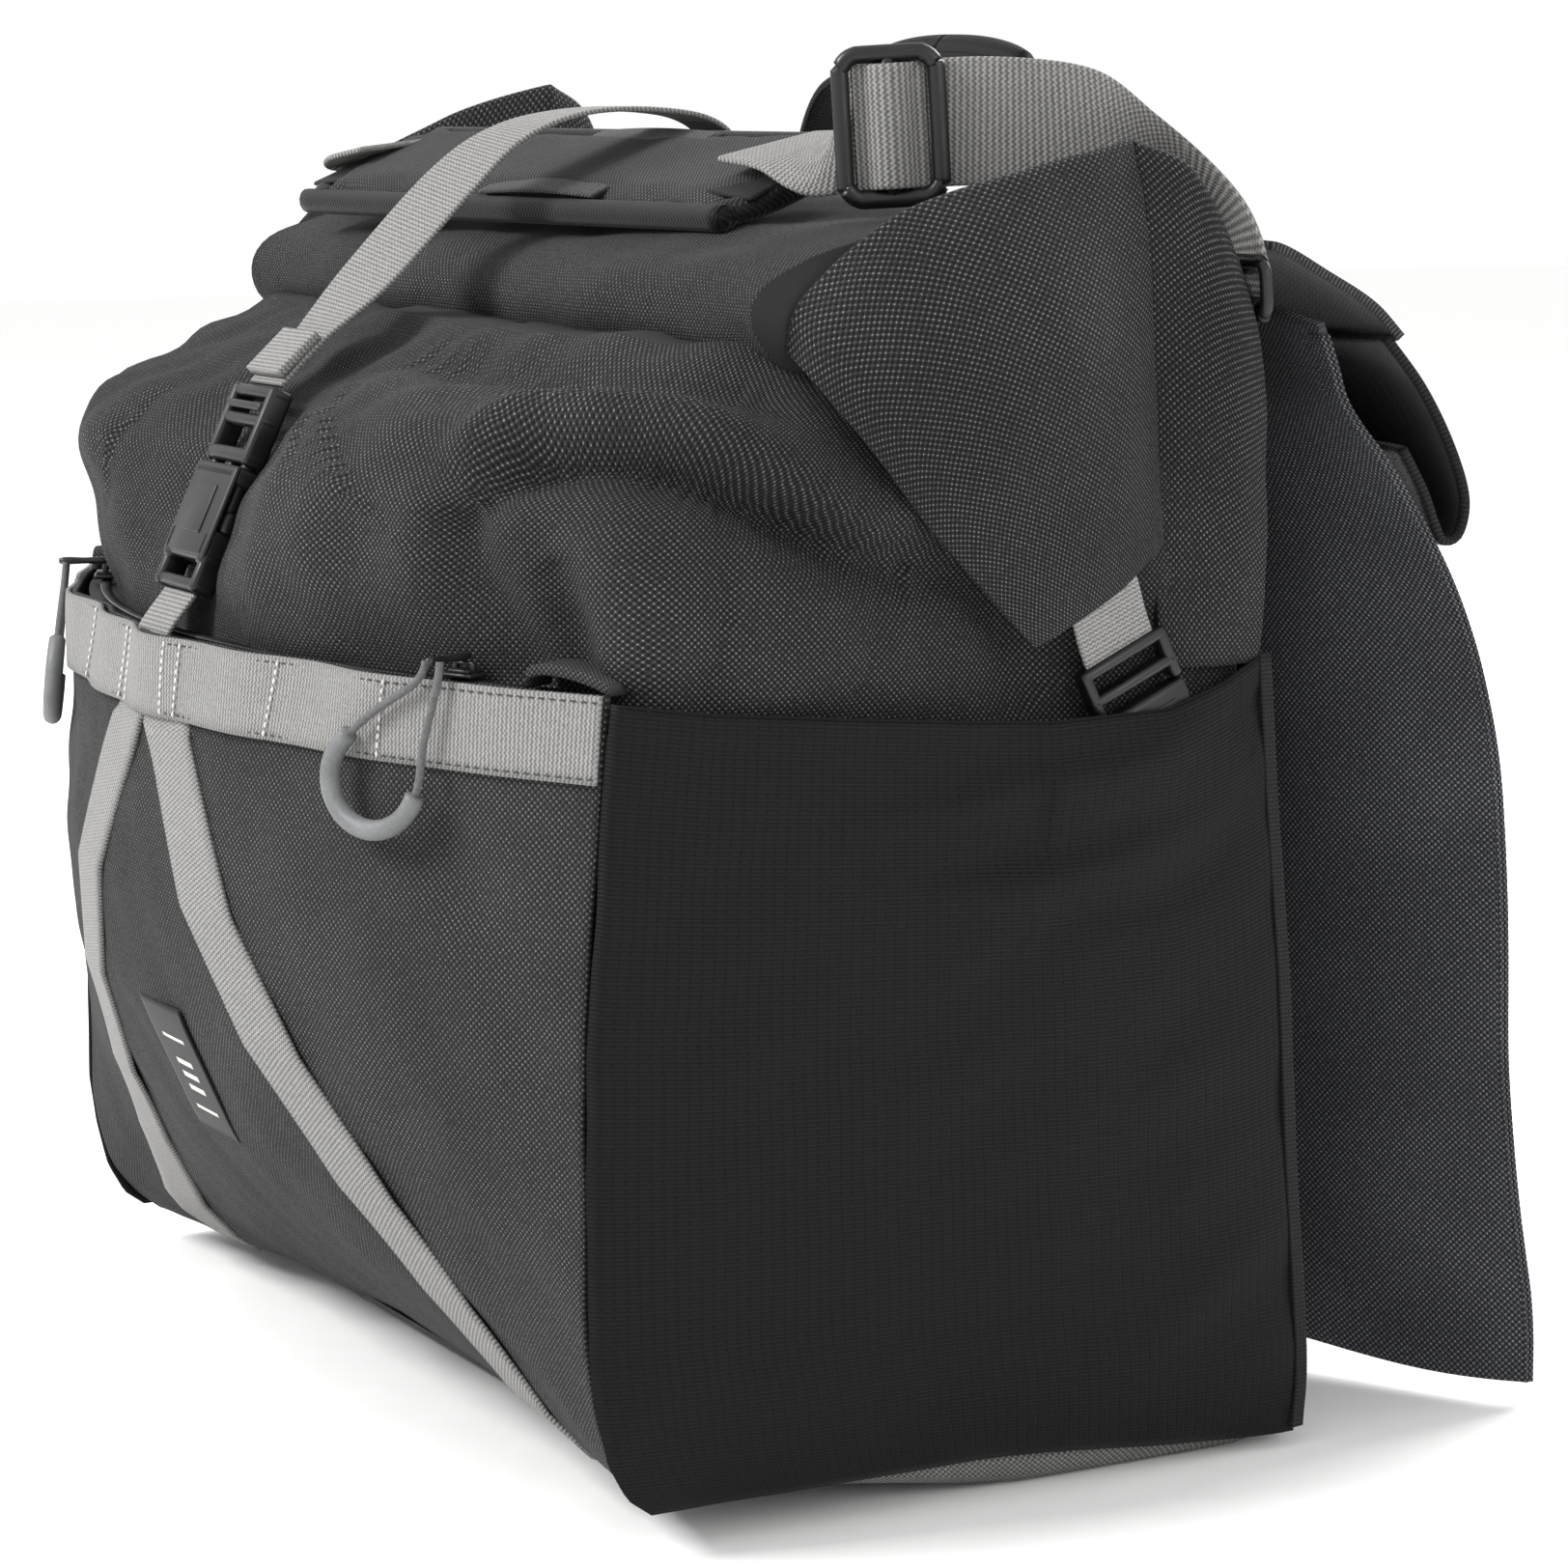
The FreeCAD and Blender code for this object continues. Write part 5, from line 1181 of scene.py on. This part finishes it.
class BAG_OT_flap(BagStep, bpy.types.Operator):
    """Builds the rear flap, its hems, yoke and dark facing"""

    bl_idname = "bag.flap"
    bl_label = "Rear flap"

    # height, y at the side hems, y in the middle
    LEVELS = (
        (8, 218, 152), (30, 219, 150), (60, 213, 148), (113, 204, 147), (160, 200, 145), (213, 195, 143),
        (243, 188, 141), (267, 178, 139), (289, 164, 137), (313, 146, 134), (331, 135, 132), (347, 134, 128),
        (363, 128, 124),
    )  # fmt: skip

    def rows(self):
        heights = np.linspace(9, 363, 110)
        side, middle = between(self.LEVELS, heights)
        side, middle = (soften(v[:, None], 2.5, 0, False)[:, 0] for v in (side, middle))
        share = np.linspace(-1, 1, 150)
        grid = []
        for z, a, b in zip(heights, side, middle):
            bow = np.abs(share) ** 2.2
            wave = 3.2 * np.sin(share * 11.0 + z / 90.0) * step(367, 250, z) * (1 - 0.6 * bow)
            x = share * (205 - 2.5 * np.sin(z / 38.0) * step(340, 200, z) * np.abs(share) ** 6)
            y = b + (a - b) * bow + wave * 0.8
            drop = -3.0 * np.cos(share * 7.0) * step(60, 8, z)
            under = 16 * step(300, 363, z) * bow
            grid.append(np.column_stack([x, y, z + drop - under]))
        return np.array(grid)

    def build(self, context):
        grid = self.rows()
        cloth = mesh_piece("rear_flap_cloth", [(grid, False)], MATERIALS["flap"])
        cloth = place(thicken(cloth, 2.4), "flap", "flap_fabric", "rear_flap")
        hems = []
        for name, column, s in (("right", -1, 1), ("left", 0, -1)):
            line = grid[:, column]
            for layer in (-0.95, 0.95):
                hem = []
                for p in line[::4]:
                    at = p + np.array([-s * 2.6, layer, 0])
                    hem.append((at, (1, 0, 0), (0, 1, 0)))
                hems.append(ribbon(f"hem_{name}", hem, 6.4, 1.5, MATERIALS["flap"], 110))
        hems = place(joined("flap_side_hems", hems), "flap", "flap_fabric", "flap_hems")
        self.yoke()

    def draped(self, middle, side, wide, count):
        """Cloth across the flap whose two ends hang in a line of their own."""
        share = np.linspace(-1, 1, 80)
        bow = (np.abs(share) ** 3.0)[:, None]
        a, b = (smooth_path([(0, *p) for p in line], count) for line in (middle, side))
        grid = []
        for p, q in zip(a, b):
            row = p[None] + (q - p)[None] * bow
            reach = wide[0] + (wide[1] - wide[0]) * step(104, 116, p[1])
            sag = 1.4 * np.sin(share * 6.5) * step(120, 180, p[1])
            grid.append(np.column_stack([share * reach, row[:, 1], row[:, 2] + sag]))
        return np.array(grid)

    def yoke(self):
        middle = ((99, 371), (131, 372), (160, 361), (183, 345), (193, 336))
        side = ((99, 371), (112, 370), (129, 361.5), (146, 352), (157, 342))
        grid = self.draped(middle, side, (158, 206), 50)
        hood = mesh_piece("flap_yoke_cloth", [(grid, False)], MATERIALS["twill"])
        place(thicken(hood, 2.6), "flap", "flap_fabric", "flap_yoke")
        middle = (
            (184, 341), (200, 326), (212, 307), (217.5, 287), (214, 276.5), (206, 276), (198, 284), (193, 296),
            (186, 310),
        )  # fmt: skip
        side = (
            (153, 342), (167, 326), (178, 308), (184, 292), (182, 281), (176, 279), (172.5, 285), (168, 295),
            (160, 308),
        )  # fmt: skip
        grid = self.draped(middle, side, (204, 204), 60)
        facing = mesh_piece("yoke_facing_band", [(grid, False)], MATERIALS["ribbed"])
        place(thicken(facing, 2.6), "flap", "black_webbing", "yoke_facing")


class BAG_OT_handle(BagStep, bpy.types.Operator):
    """Builds the grab handle at the top rear edge"""

    bl_idname = "bag.handle"
    bl_label = "Grab handle"

    def build(self, context):
        low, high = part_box("handle_grip")
        y = (low.y + high.y) / 2 / MM
        foot, crown = 373.4, high.z / MM - 6.5
        rise = crown - foot
        line = [(90, foot + 1), (86, foot + rise * 0.5), (72, foot + rise * 0.85), (48, foot + rise * 0.97)]
        line += [(18, crown), (-18, crown)]
        line += [(-a, b) for a, b in line[3::-1]]
        stations = []
        for i, (px, pz) in enumerate(line):
            a, b = line[max(i - 1, 0)], line[min(i + 1, len(line) - 1)]
            stations.append(((px, y, pz), (0, 1, 0), (b[1] - a[1], 0, -(b[0] - a[0]))))
        web = ribbon("handle_webbing", stations, 20, 3.0, MATERIALS["tape"], 90)
        place(web, "handle", "black_webbing", "handle_web_right", "handle_web_left")
        core = smooth_path([(px, y, pz) for px, pz in line if abs(px) <= 56], 50)
        swell = 7.4 * (np.sin(np.linspace(0.12, np.pi - 0.12, 50)) ** 0.22)
        grip = tube("handle_padding", core, swell, MATERIALS["spacer"], 18, False, 1.5, (1, 0, 0.001))
        place(grip, "handle", "black_webbing", "handle_grip")


class BAG_OT_buckles(BagStep, bpy.types.Operator):
    """Builds the front buckle and the buckles at the ends of the roll"""

    bl_idname = "bag.buckles"
    bl_label = "Buckles"

    def build(self, context):
        at = axes_matrix((0, -157, 262), (0, 0.42, 0.907), (0, -0.907, 0.42))
        bits = [
            ((33, 2.0, 30), (0, -4.0, 26), 0.9), ((33, 2.0, 30), (0, 4.0, 26), 0.9),
            ((33, 10, 6), (0, 0, 38.6), 2.2), ((5.5, 10, 12), (-13.7, 0, 14.5), 2.0),
            ((5.5, 10, 12), (13.7, 0, 14.5), 2.0), ((33, 9.6, 4.4), (0, 0, 12), 1.8),
            ((33, 7.5, 4.0), (0, 0, 2.3), 1.7),
            ((4, 8.4, 12), (-14.4, 0, 6), 1.6), ((4, 8.4, 12), (14.4, 0, 6), 1.6),
            ((15, 1.0, 16), (0, -5.1, 26), 0.45),
        ]  # fmt: skip
        self.cast("buckle_socket", bits, at, "bag", "front_buckle_socket")
        bits = [
            ((33, 8.0, 5.0), (0, 0, 45.2), 2.0), ((33, 6.4, 3.8), (0, -0.6, 57), 1.6),
            ((33, 7.6, 4.0), (0, 0, 66.2), 1.8),
            ((3.8, 8.0, 26), (-14.5, 0, 55.4), 1.6), ((3.8, 8.0, 26), (14.5, 0, 55.4), 1.6),
            ((5.6, 4.6, 24), (0, 0, 31.5), 1.6),
            ((4.0, 4.6, 22), (-12.6, 0, 32.5), 1.6), ((4.0, 4.6, 22), (12.6, 0, 32.5), 1.6),
            ((6.6, 5.2, 7.5), (-13.4, 0, 23.6), 2.0), ((6.6, 5.2, 7.5), (13.4, 0, 23.6), 2.0),
            ((26, 2.2, 2.6), (0, -3.6, 61.2), 1.0),
        ]  # fmt: skip
        self.cast("buckle_plug", bits, at, "front_plug", "front_buckle_plug")
        for name, s in SIDES:
            self.end_buckle(name, s)

    def cast(self, name, bits, at, body, node):
        place(blocks(name, bits, at, MATERIALS["plastic"]), body, "acetal", node)

    def end_buckle(self, name, s):
        x, down, across = 209.2, unit((0, 0.42, -0.907)), unit((0, 0.907, 0.42))
        root = np.array([x, 47.5, 268.5])
        head = root + down * 16
        web = [
            ((x + 3.2, *(root - down * 11)[1:]), across, (1, 0, 0)),
            ((x + 3.6, *(root - down * 2)[1:]), across, (1, 0, 0)),
            ((x + 1.2, *(root + down * 9)[1:]), across, (1, 0, 0)),
            ((x + 0.4, *(head + down * 1.6)[1:]), across, (1, 0, 0)),
        ]
        strap = ribbon(f"ear_strap_{name}", web, 25, 1.7, MATERIALS["webbing"], 30, s < 0)
        place(strap, "bag", "light_webbing", f"ear_webbing_{name}")
        at = axes_matrix((s * head[0], head[1], head[2]), down, (s, 0, 0))
        long = 42 if s > 0 else 38
        bits = [
            ((32, 6.4, 3.8), (0, 0, 1.9), 1.7), ((32, 6.0, 3.6), (0, -0.3, 10.6), 1.5),
            ((3.6, 6.6, 16), (-14.2, 0, 8.6), 1.6), ((3.6, 6.6, 16), (14.2, 0, 8.6), 1.6),
            ((32, 6.6, long - 17), (0, 0, 17 + (long - 17) / 2), 2.0),
            ((20, 1.0, long - 24), (0, -3.3, 18 + (long - 17) / 2), 0.45),
        ]  # fmt: skip
        self.cast(f"ear_buckle_{name}", bits, at, f"end_frame_{name}", f"end_buckle_{name}")


# Route of the pull cord's loop, seen from the front: across and up from the rod's eye.
PULL_ROUTE = (
    (-2.7, 1.3), (-2.9, -4.0), (-19.5, -13.0), (-30.0, -20.5), (-38.5, -29.0), (-38.0, -40.0), (-29.5, -48.0),
    (-18.0, -49.5), (-7.5, -44.5), (-2.5, -35.0), (-2.5, -23.5), (2.8, -4.2), (2.7, 1.3),
)  # fmt: skip


class BAG_OT_zip(BagStep, bpy.types.Operator):
    """Builds the front zip: coil, sliders, cord pulls and the end tabs"""

    bl_idname = "bag.zip"
    bl_label = "Front zip"

    CENTRE_Y, RADIUS = 237.13, 394.13

    def build(self, context):
        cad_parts["zip_tape"].data.materials.clear()
        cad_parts["zip_tape"].data.materials.append(MATERIALS["tape"])
        low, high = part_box("zip_coil")
        z = (low.z + high.z) / 2 / MM
        end = math.asin(180 / self.RADIUS)
        turns = np.linspace(-end, end, 120)
        line = [self.around(a, self.RADIUS, z) for a in turns]
        size = (1.1 * MM, 4.4 * MM, 1.5 * MM)
        coil = beads("zip_coil_turns", [line], context.scene.bag_sizes.coil_pitch, size, MATERIALS["zinc"])
        place(coil, "bag", "zip_parts", "zip_coil")
        for name, s in SIDES:
            self.slider(name, s)
            self.tab(name, s)

    def around(self, angle, r, z):
        return np.array([r * math.sin(angle), self.CENTRE_Y - r * math.cos(angle), z])

    def slider(self, name, s):
        low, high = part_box(f"zip_slider_{name}")
        angle = s * math.asin(148 / self.RADIUS)
        along = np.array([math.cos(angle), math.sin(angle), 0])
        out = np.array([math.sin(angle), -math.cos(angle), 0])
        z = low.z / MM
        at = axes_matrix(self.around(angle, self.RADIUS, z), (0, 0, 1), tuple(out))
        bits = [
            ((11, 8, 1.4), (0, 0, 0.8), 0.6), ((8, 6.4, 1.2), (0, 0, 2.0), 0.5),
            ((7.5, 2.0, 1.2), (0, 0, 4.2), 0.55),
            ((1.4, 2.0, 3.2), (-3.4, 0, 2.8), 0.5), ((1.4, 2.0, 3.2), (3.4, 0, 2.8), 0.5),
        ]  # fmt: skip
        slider = blocks(f"slider_body_{name}", bits, at, MATERIALS["zinc"])
        place(slider, f"slider_{name}", "zip_parts", f"zip_slider_{name}")
        low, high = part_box(f"pull_rod_{name}")
        level = (low.z + high.z) / 2 / MM
        rod = [self.around(angle, self.RADIUS + t, level) for t in np.linspace(-1.8, 15.8, 12)]
        width = (0.9, 1.25, 1.3, 1.3, 1.2, 1.1, 1.1, 1.2, 1.3, 1.35, 1.3, 0.9)
        stick = tube(f"slider_stick_{name}", rod, width, MATERIALS["zinc"], 12)
        place(stick, f"slider_{name}", "zip_parts", f"pull_rod_{name}")
        eye = self.around(angle, self.RADIUS + 13.4, level - 1.4)
        route = [eye + along * (s * u) + np.array([0, 0, w]) + out * 0.10 * (-w) for u, w in PULL_ROUTE]
        self.cord(name, route)

    def cord(self, name, route):
        curve = bpy.data.curves.new(f"pull_cord_loop_{name}", "CURVE")
        curve.dimensions = "3D"
        spline = curve.splines.new("NURBS")
        spline.points.add(len(route) - 1)
        for point, place_at in zip(spline.points, route):
            point.co = (*(np.array(place_at) * MM), 1)
        spline.order_u = 3
        spline.use_endpoint_u = True
        spline.resolution_u = 10
        obj = bpy.data.objects.new(f"pull_cord_loop_{name}", curve)
        bpy.context.scene.collection.objects.link(obj)
        bpy.context.view_layer.update()
        line = bpy.data.meshes.new_from_object(obj.evaluated_get(bpy.context.evaluated_depsgraph_get()))
        points = np.array([v.co[:] for v in line.vertices]) / MM
        bpy.data.meshes.remove(line)
        length = np.linalg.norm(np.diff(points, axis=0), axis=1).sum()
        curve.bevel_depth, curve.bevel_resolution = 1.2 * MM, 3
        curve.materials.append(MATERIALS["cord"])
        gone = np.r_[0, np.cumsum(np.linalg.norm(np.diff(points, axis=0), axis=1))] / length
        held = points[(gone > 0.27) & (gone < 0.72)]
        held = smooth_path(held[:: max(1, len(held) // 14)], 48)
        radius = 3.1 * np.sin(np.linspace(0.5, np.pi - 0.5, 48)) ** 0.12
        rubber, up = MATERIALS["rubber"], (0.3, 1, 0.1)
        grip = tube(f"pull_grip_tube_{name}", held, radius, rubber, 16, False, 1.0, up)
        place(grip, f"pull_{name}", "grip_rubber", f"pull_grip_{name}")
        place(obj, f"pull_{name}", "pull_cord", f"pull_cord_{name}")

    def tab(self, name, s):
        low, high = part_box(f"zip_end_tab_{name}")
        mid = (np.array(low) + np.array(high)) / 2 / MM
        angle = s * math.asin(abs(mid[0]) / self.RADIUS)
        along = np.array([math.cos(angle), math.sin(angle), 0]) * s
        out = np.array([math.sin(angle), -math.cos(angle), 0])
        stations = []
        for t, h in ((-12, -1.5), (-11, 1.2), (-6, 2.6), (2, 2.2), (10, 0.6), (17, -1.8)):
            stations.append((mid + along * t + np.array([0, 0, h]), out, (0, 0, 1)))
        hood = ribbon(f"zip_hood_{name}", stations, 13, 3.4, MATERIALS["pad"], 30)
        place(hood, "bag", "pad_fabric", f"zip_end_tab_{name}")


# ------------------------------------------------------------------ stitches


def beads(name, lines, pitch, size, material):
    """Repeats a rounded bead along lines of points with a geometry node tree, and bakes it."""
    mesh = bpy.data.meshes.new(name)
    verts, edges = [], []
    for line in lines:
        first = len(verts)
        verts += [tuple(np.asarray(p) * MM) for p in line]
        edges += [(i, i + 1) for i in range(first, len(verts) - 1)]
    mesh.from_pydata(verts, edges, [])
    obj = bpy.data.objects.new(name, mesh)
    bpy.context.scene.collection.objects.link(obj)
    tree = bead_tree(material)
    modifier = obj.modifiers.new("Beads", "NODES")
    modifier.node_group = tree
    for item in tree.interface.items_tree:
        if item.item_type == "SOCKET" and item.in_out == "INPUT" and item.name == "Pitch":
            modifier[item.identifier] = float(pitch)
        if item.item_type == "SOCKET" and item.in_out == "INPUT" and item.name == "Bead Size":
            modifier[item.identifier] = [float(v) for v in size]
    bake(obj)
    obj.data.polygons.foreach_set("use_smooth", np.ones(len(obj.data.polygons), bool))
    return obj


def bead_tree(material):
    """Lines in; one rounded bead per pitch out, its first axis along the line."""
    tree = bpy.data.node_groups.new("Beads along lines", "GeometryNodeTree")
    face = tree.interface
    face.new_socket("Geometry", in_out="INPUT", socket_type="NodeSocketGeometry")
    pitch = face.new_socket("Pitch", in_out="INPUT", socket_type="NodeSocketFloat")
    pitch.default_value = 3.6 * MM
    size = face.new_socket("Bead Size", in_out="INPUT", socket_type="NodeSocketVector")
    size.default_value = (2.6 * MM, 0.8 * MM, 0.8 * MM)
    face.new_socket("Geometry", in_out="OUTPUT", socket_type="NodeSocketGeometry")
    given = add(tree, "NodeGroupInput")
    curve = add(tree, "GeometryNodeMeshToCurve", {"Mesh": given.outputs["Geometry"]})
    spaced = add(
        tree, "GeometryNodeResampleCurve", {"Curve": curve.outputs[0], "Length": given.outputs["Pitch"]}, mode="LENGTH"
    )
    tangent = add(tree, "GeometryNodeInputTangent")
    turned = add(tree, "FunctionNodeAlignRotationToVector", {"Vector": tangent.outputs[0]}, axis="X")
    bead = add(tree, "GeometryNodeMeshUVSphere", {"Segments": 6, "Rings": 4, "Radius": 0.5})
    placed = add(
        tree,
        "GeometryNodeInstanceOnPoints",
        {
            "Points": spaced.outputs[0],
            "Instance": bead.outputs["Mesh"],
            "Rotation": turned.outputs[0],
            "Scale": given.outputs["Bead Size"],
        },
    )
    real = add(tree, "GeometryNodeRealizeInstances", {"Geometry": placed.outputs[0]})
    painted = add(tree, "GeometryNodeSetMaterial", {"Geometry": real.outputs[0], "Material": material})
    add(tree, "NodeGroupOutput", {0: painted.outputs[0]})
    return tree


class BAG_OT_stitches(BagStep, bpy.types.Operator):
    """Sews the visible seams: light thread on webbing, dark thread on cloth"""

    bl_idname = "bag.stitches"
    bl_label = "Stitches"

    def on_pocket(self, x, z, lift):
        half, corner, middle = between(POCKET_LEVELS, z)
        y = arc_y(x, half, corner, middle) - slack_at(x, z) - lift
        return np.column_stack([x, y, np.full_like(x, 1) * z])

    def build(self, context):
        sizes = context.scene.bag_sizes
        bead = (sizes.stitch_length, sizes.thread_width, sizes.thread_width * 0.8)
        light, dark = [], []
        z = np.linspace(227, 248, 12)
        for x in (18, 26, 78, 132):
            for s in (-1, 1):
                light.append(self.on_pocket(np.full(12, s * x) + (z - 237) * 0.1, z, 3.4))
        rows = beads("band_tacks", light, 2.4 * MM, (2.2 * MM, 1.0 * MM, 1.0 * MM), MATERIALS["thread"])
        place(rows, "bag", "thread", "band_bar_tacks")
        x = np.linspace(-202, 202, 160)
        for z in (226.6, 248.2):
            dark.append(self.on_pocket(x, np.full(160, z), 3.0))
        for s in (-1, 1):
            z = np.linspace(14, 222, 90)
            half, corner, _ = between(POCKET_LEVELS, z)
            dark.append(np.column_stack([s * (half + 1.6), -corner + 4.5, z]))
        seams = beads("cloth_seams", dark, sizes.stitch_pitch, bead, MATERIALS["dark_thread"])
        place(seams, "bag", "thread")


class BAG_OT_stage(BagStep, bpy.types.Operator):
    """Sets up the pale floor, the soft lights and the camera"""

    bl_idname = "bag.stage"
    bl_label = "Stage"

    def build(self, context):
        scene = context.scene
        bpy.ops.mesh.primitive_plane_add(size=14, location=(0, 0, -0.0005))
        floor = context.active_object
        floor.name = "studio_floor"
        floor.data.materials.append(MATERIALS["floor"])
        world = bpy.data.worlds.new("studio")
        world.use_nodes = True
        world.node_tree.nodes["Background"].inputs[0].default_value = linear("#ffffff")
        world.node_tree.nodes["Background"].inputs[1].default_value = 1.0
        scene.view_settings.view_transform = "Standard"
        scene.world = world
        aim = Vector((0, 0, 0.2))
        for name, at, size, power in (
            ("key", (-0.5, -2.0, 1.9), 0.9, 75),
            ("fill", (2.2, 0.4, 1.0), 1.0, 12),
            ("back", (-0.6, 1.9, 1.5), 1.1, 55),
        ):
            lamp = bpy.data.lights.new(name, "AREA")
            lamp.energy, lamp.size = power, size
            obj = bpy.data.objects.new(name, lamp)
            obj.location = at
            obj.rotation_euler = (aim - Vector(at)).to_track_quat("-Z", "Y").to_euler()
            scene.collection.objects.link(obj)
        camera = bpy.data.cameras.new("camera")
        camera.sensor_width, camera.lens = 36.0, 102.1
        camera.clip_end = 60
        obj = bpy.data.objects.new("camera", camera)
        yaw, pitch = math.radians(28.67), math.radians(8.95)
        look = Vector((-math.cos(yaw) * math.cos(pitch), math.sin(yaw) * math.cos(pitch), -math.sin(pitch)))
        obj.location = (1.300, -0.654, 0.418)
        obj.rotation_euler = look.to_track_quat("-Z", "Y").to_euler()
        scene.collection.objects.link(obj)
        scene.camera = obj


class BAG_PT_panel(bpy.types.Panel):
    """Lists the bag's building steps."""

    bl_label = "Roll-top bag"
    bl_idname = "BAG_PT_panel"
    bl_space_type = "VIEW_3D"
    bl_region_type = "UI"
    bl_category = "Bag"

    def draw(self, context):
        for group in (context.scene.bag_colours, context.scene.bag_sizes):
            for key in group.bl_rna.properties.keys():
                if key not in ("rna_type", "name"):
                    self.layout.prop(group, key)
        for step_class in STEPS:
            self.layout.operator(step_class.bl_idname)


STEPS = (
    BAG_OT_body,
    BAG_OT_front,
    BAG_OT_side_pockets,
    BAG_OT_roll,
    BAG_OT_closure,
    BAG_OT_sling,
    BAG_OT_flap,
    BAG_OT_handle,
    BAG_OT_buckles,
    BAG_OT_zip,
    BAG_OT_stitches,
    BAG_OT_stage,
)
CLASSES = (BAG_PG_colours, BAG_PG_sizes, *STEPS, BAG_PT_panel)


def register():
    for cls in CLASSES:
        bpy.utils.register_class(cls)
    bpy.types.Scene.bag_colours = bpy.props.PointerProperty(type=BAG_PG_colours)
    bpy.types.Scene.bag_sizes = bpy.props.PointerProperty(type=BAG_PG_sizes)


def unregister():
    del bpy.types.Scene.bag_colours
    del bpy.types.Scene.bag_sizes
    for cls in reversed(CLASSES):
        bpy.utils.unregister_class(cls)


def paint_cad_nodes():
    """Finishes the frame's own pieces that stay in sight."""
    keys = dict(back_panel="spacer", back_board="board", base_board="board", roll_stiffeners="board")
    for node, key in keys.items():
        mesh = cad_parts[node].data
        mesh.materials.clear()
        mesh.materials.append(MATERIALS[key])


def main():
    register()
    make_materials(bpy.context.scene.bag_colours)
    paint_cad_nodes()
    for step_class in STEPS:
        group, name = step_class.bl_idname.split(".")
        getattr(getattr(bpy.ops, group), name)()


if __name__ == "__main__":
    main()
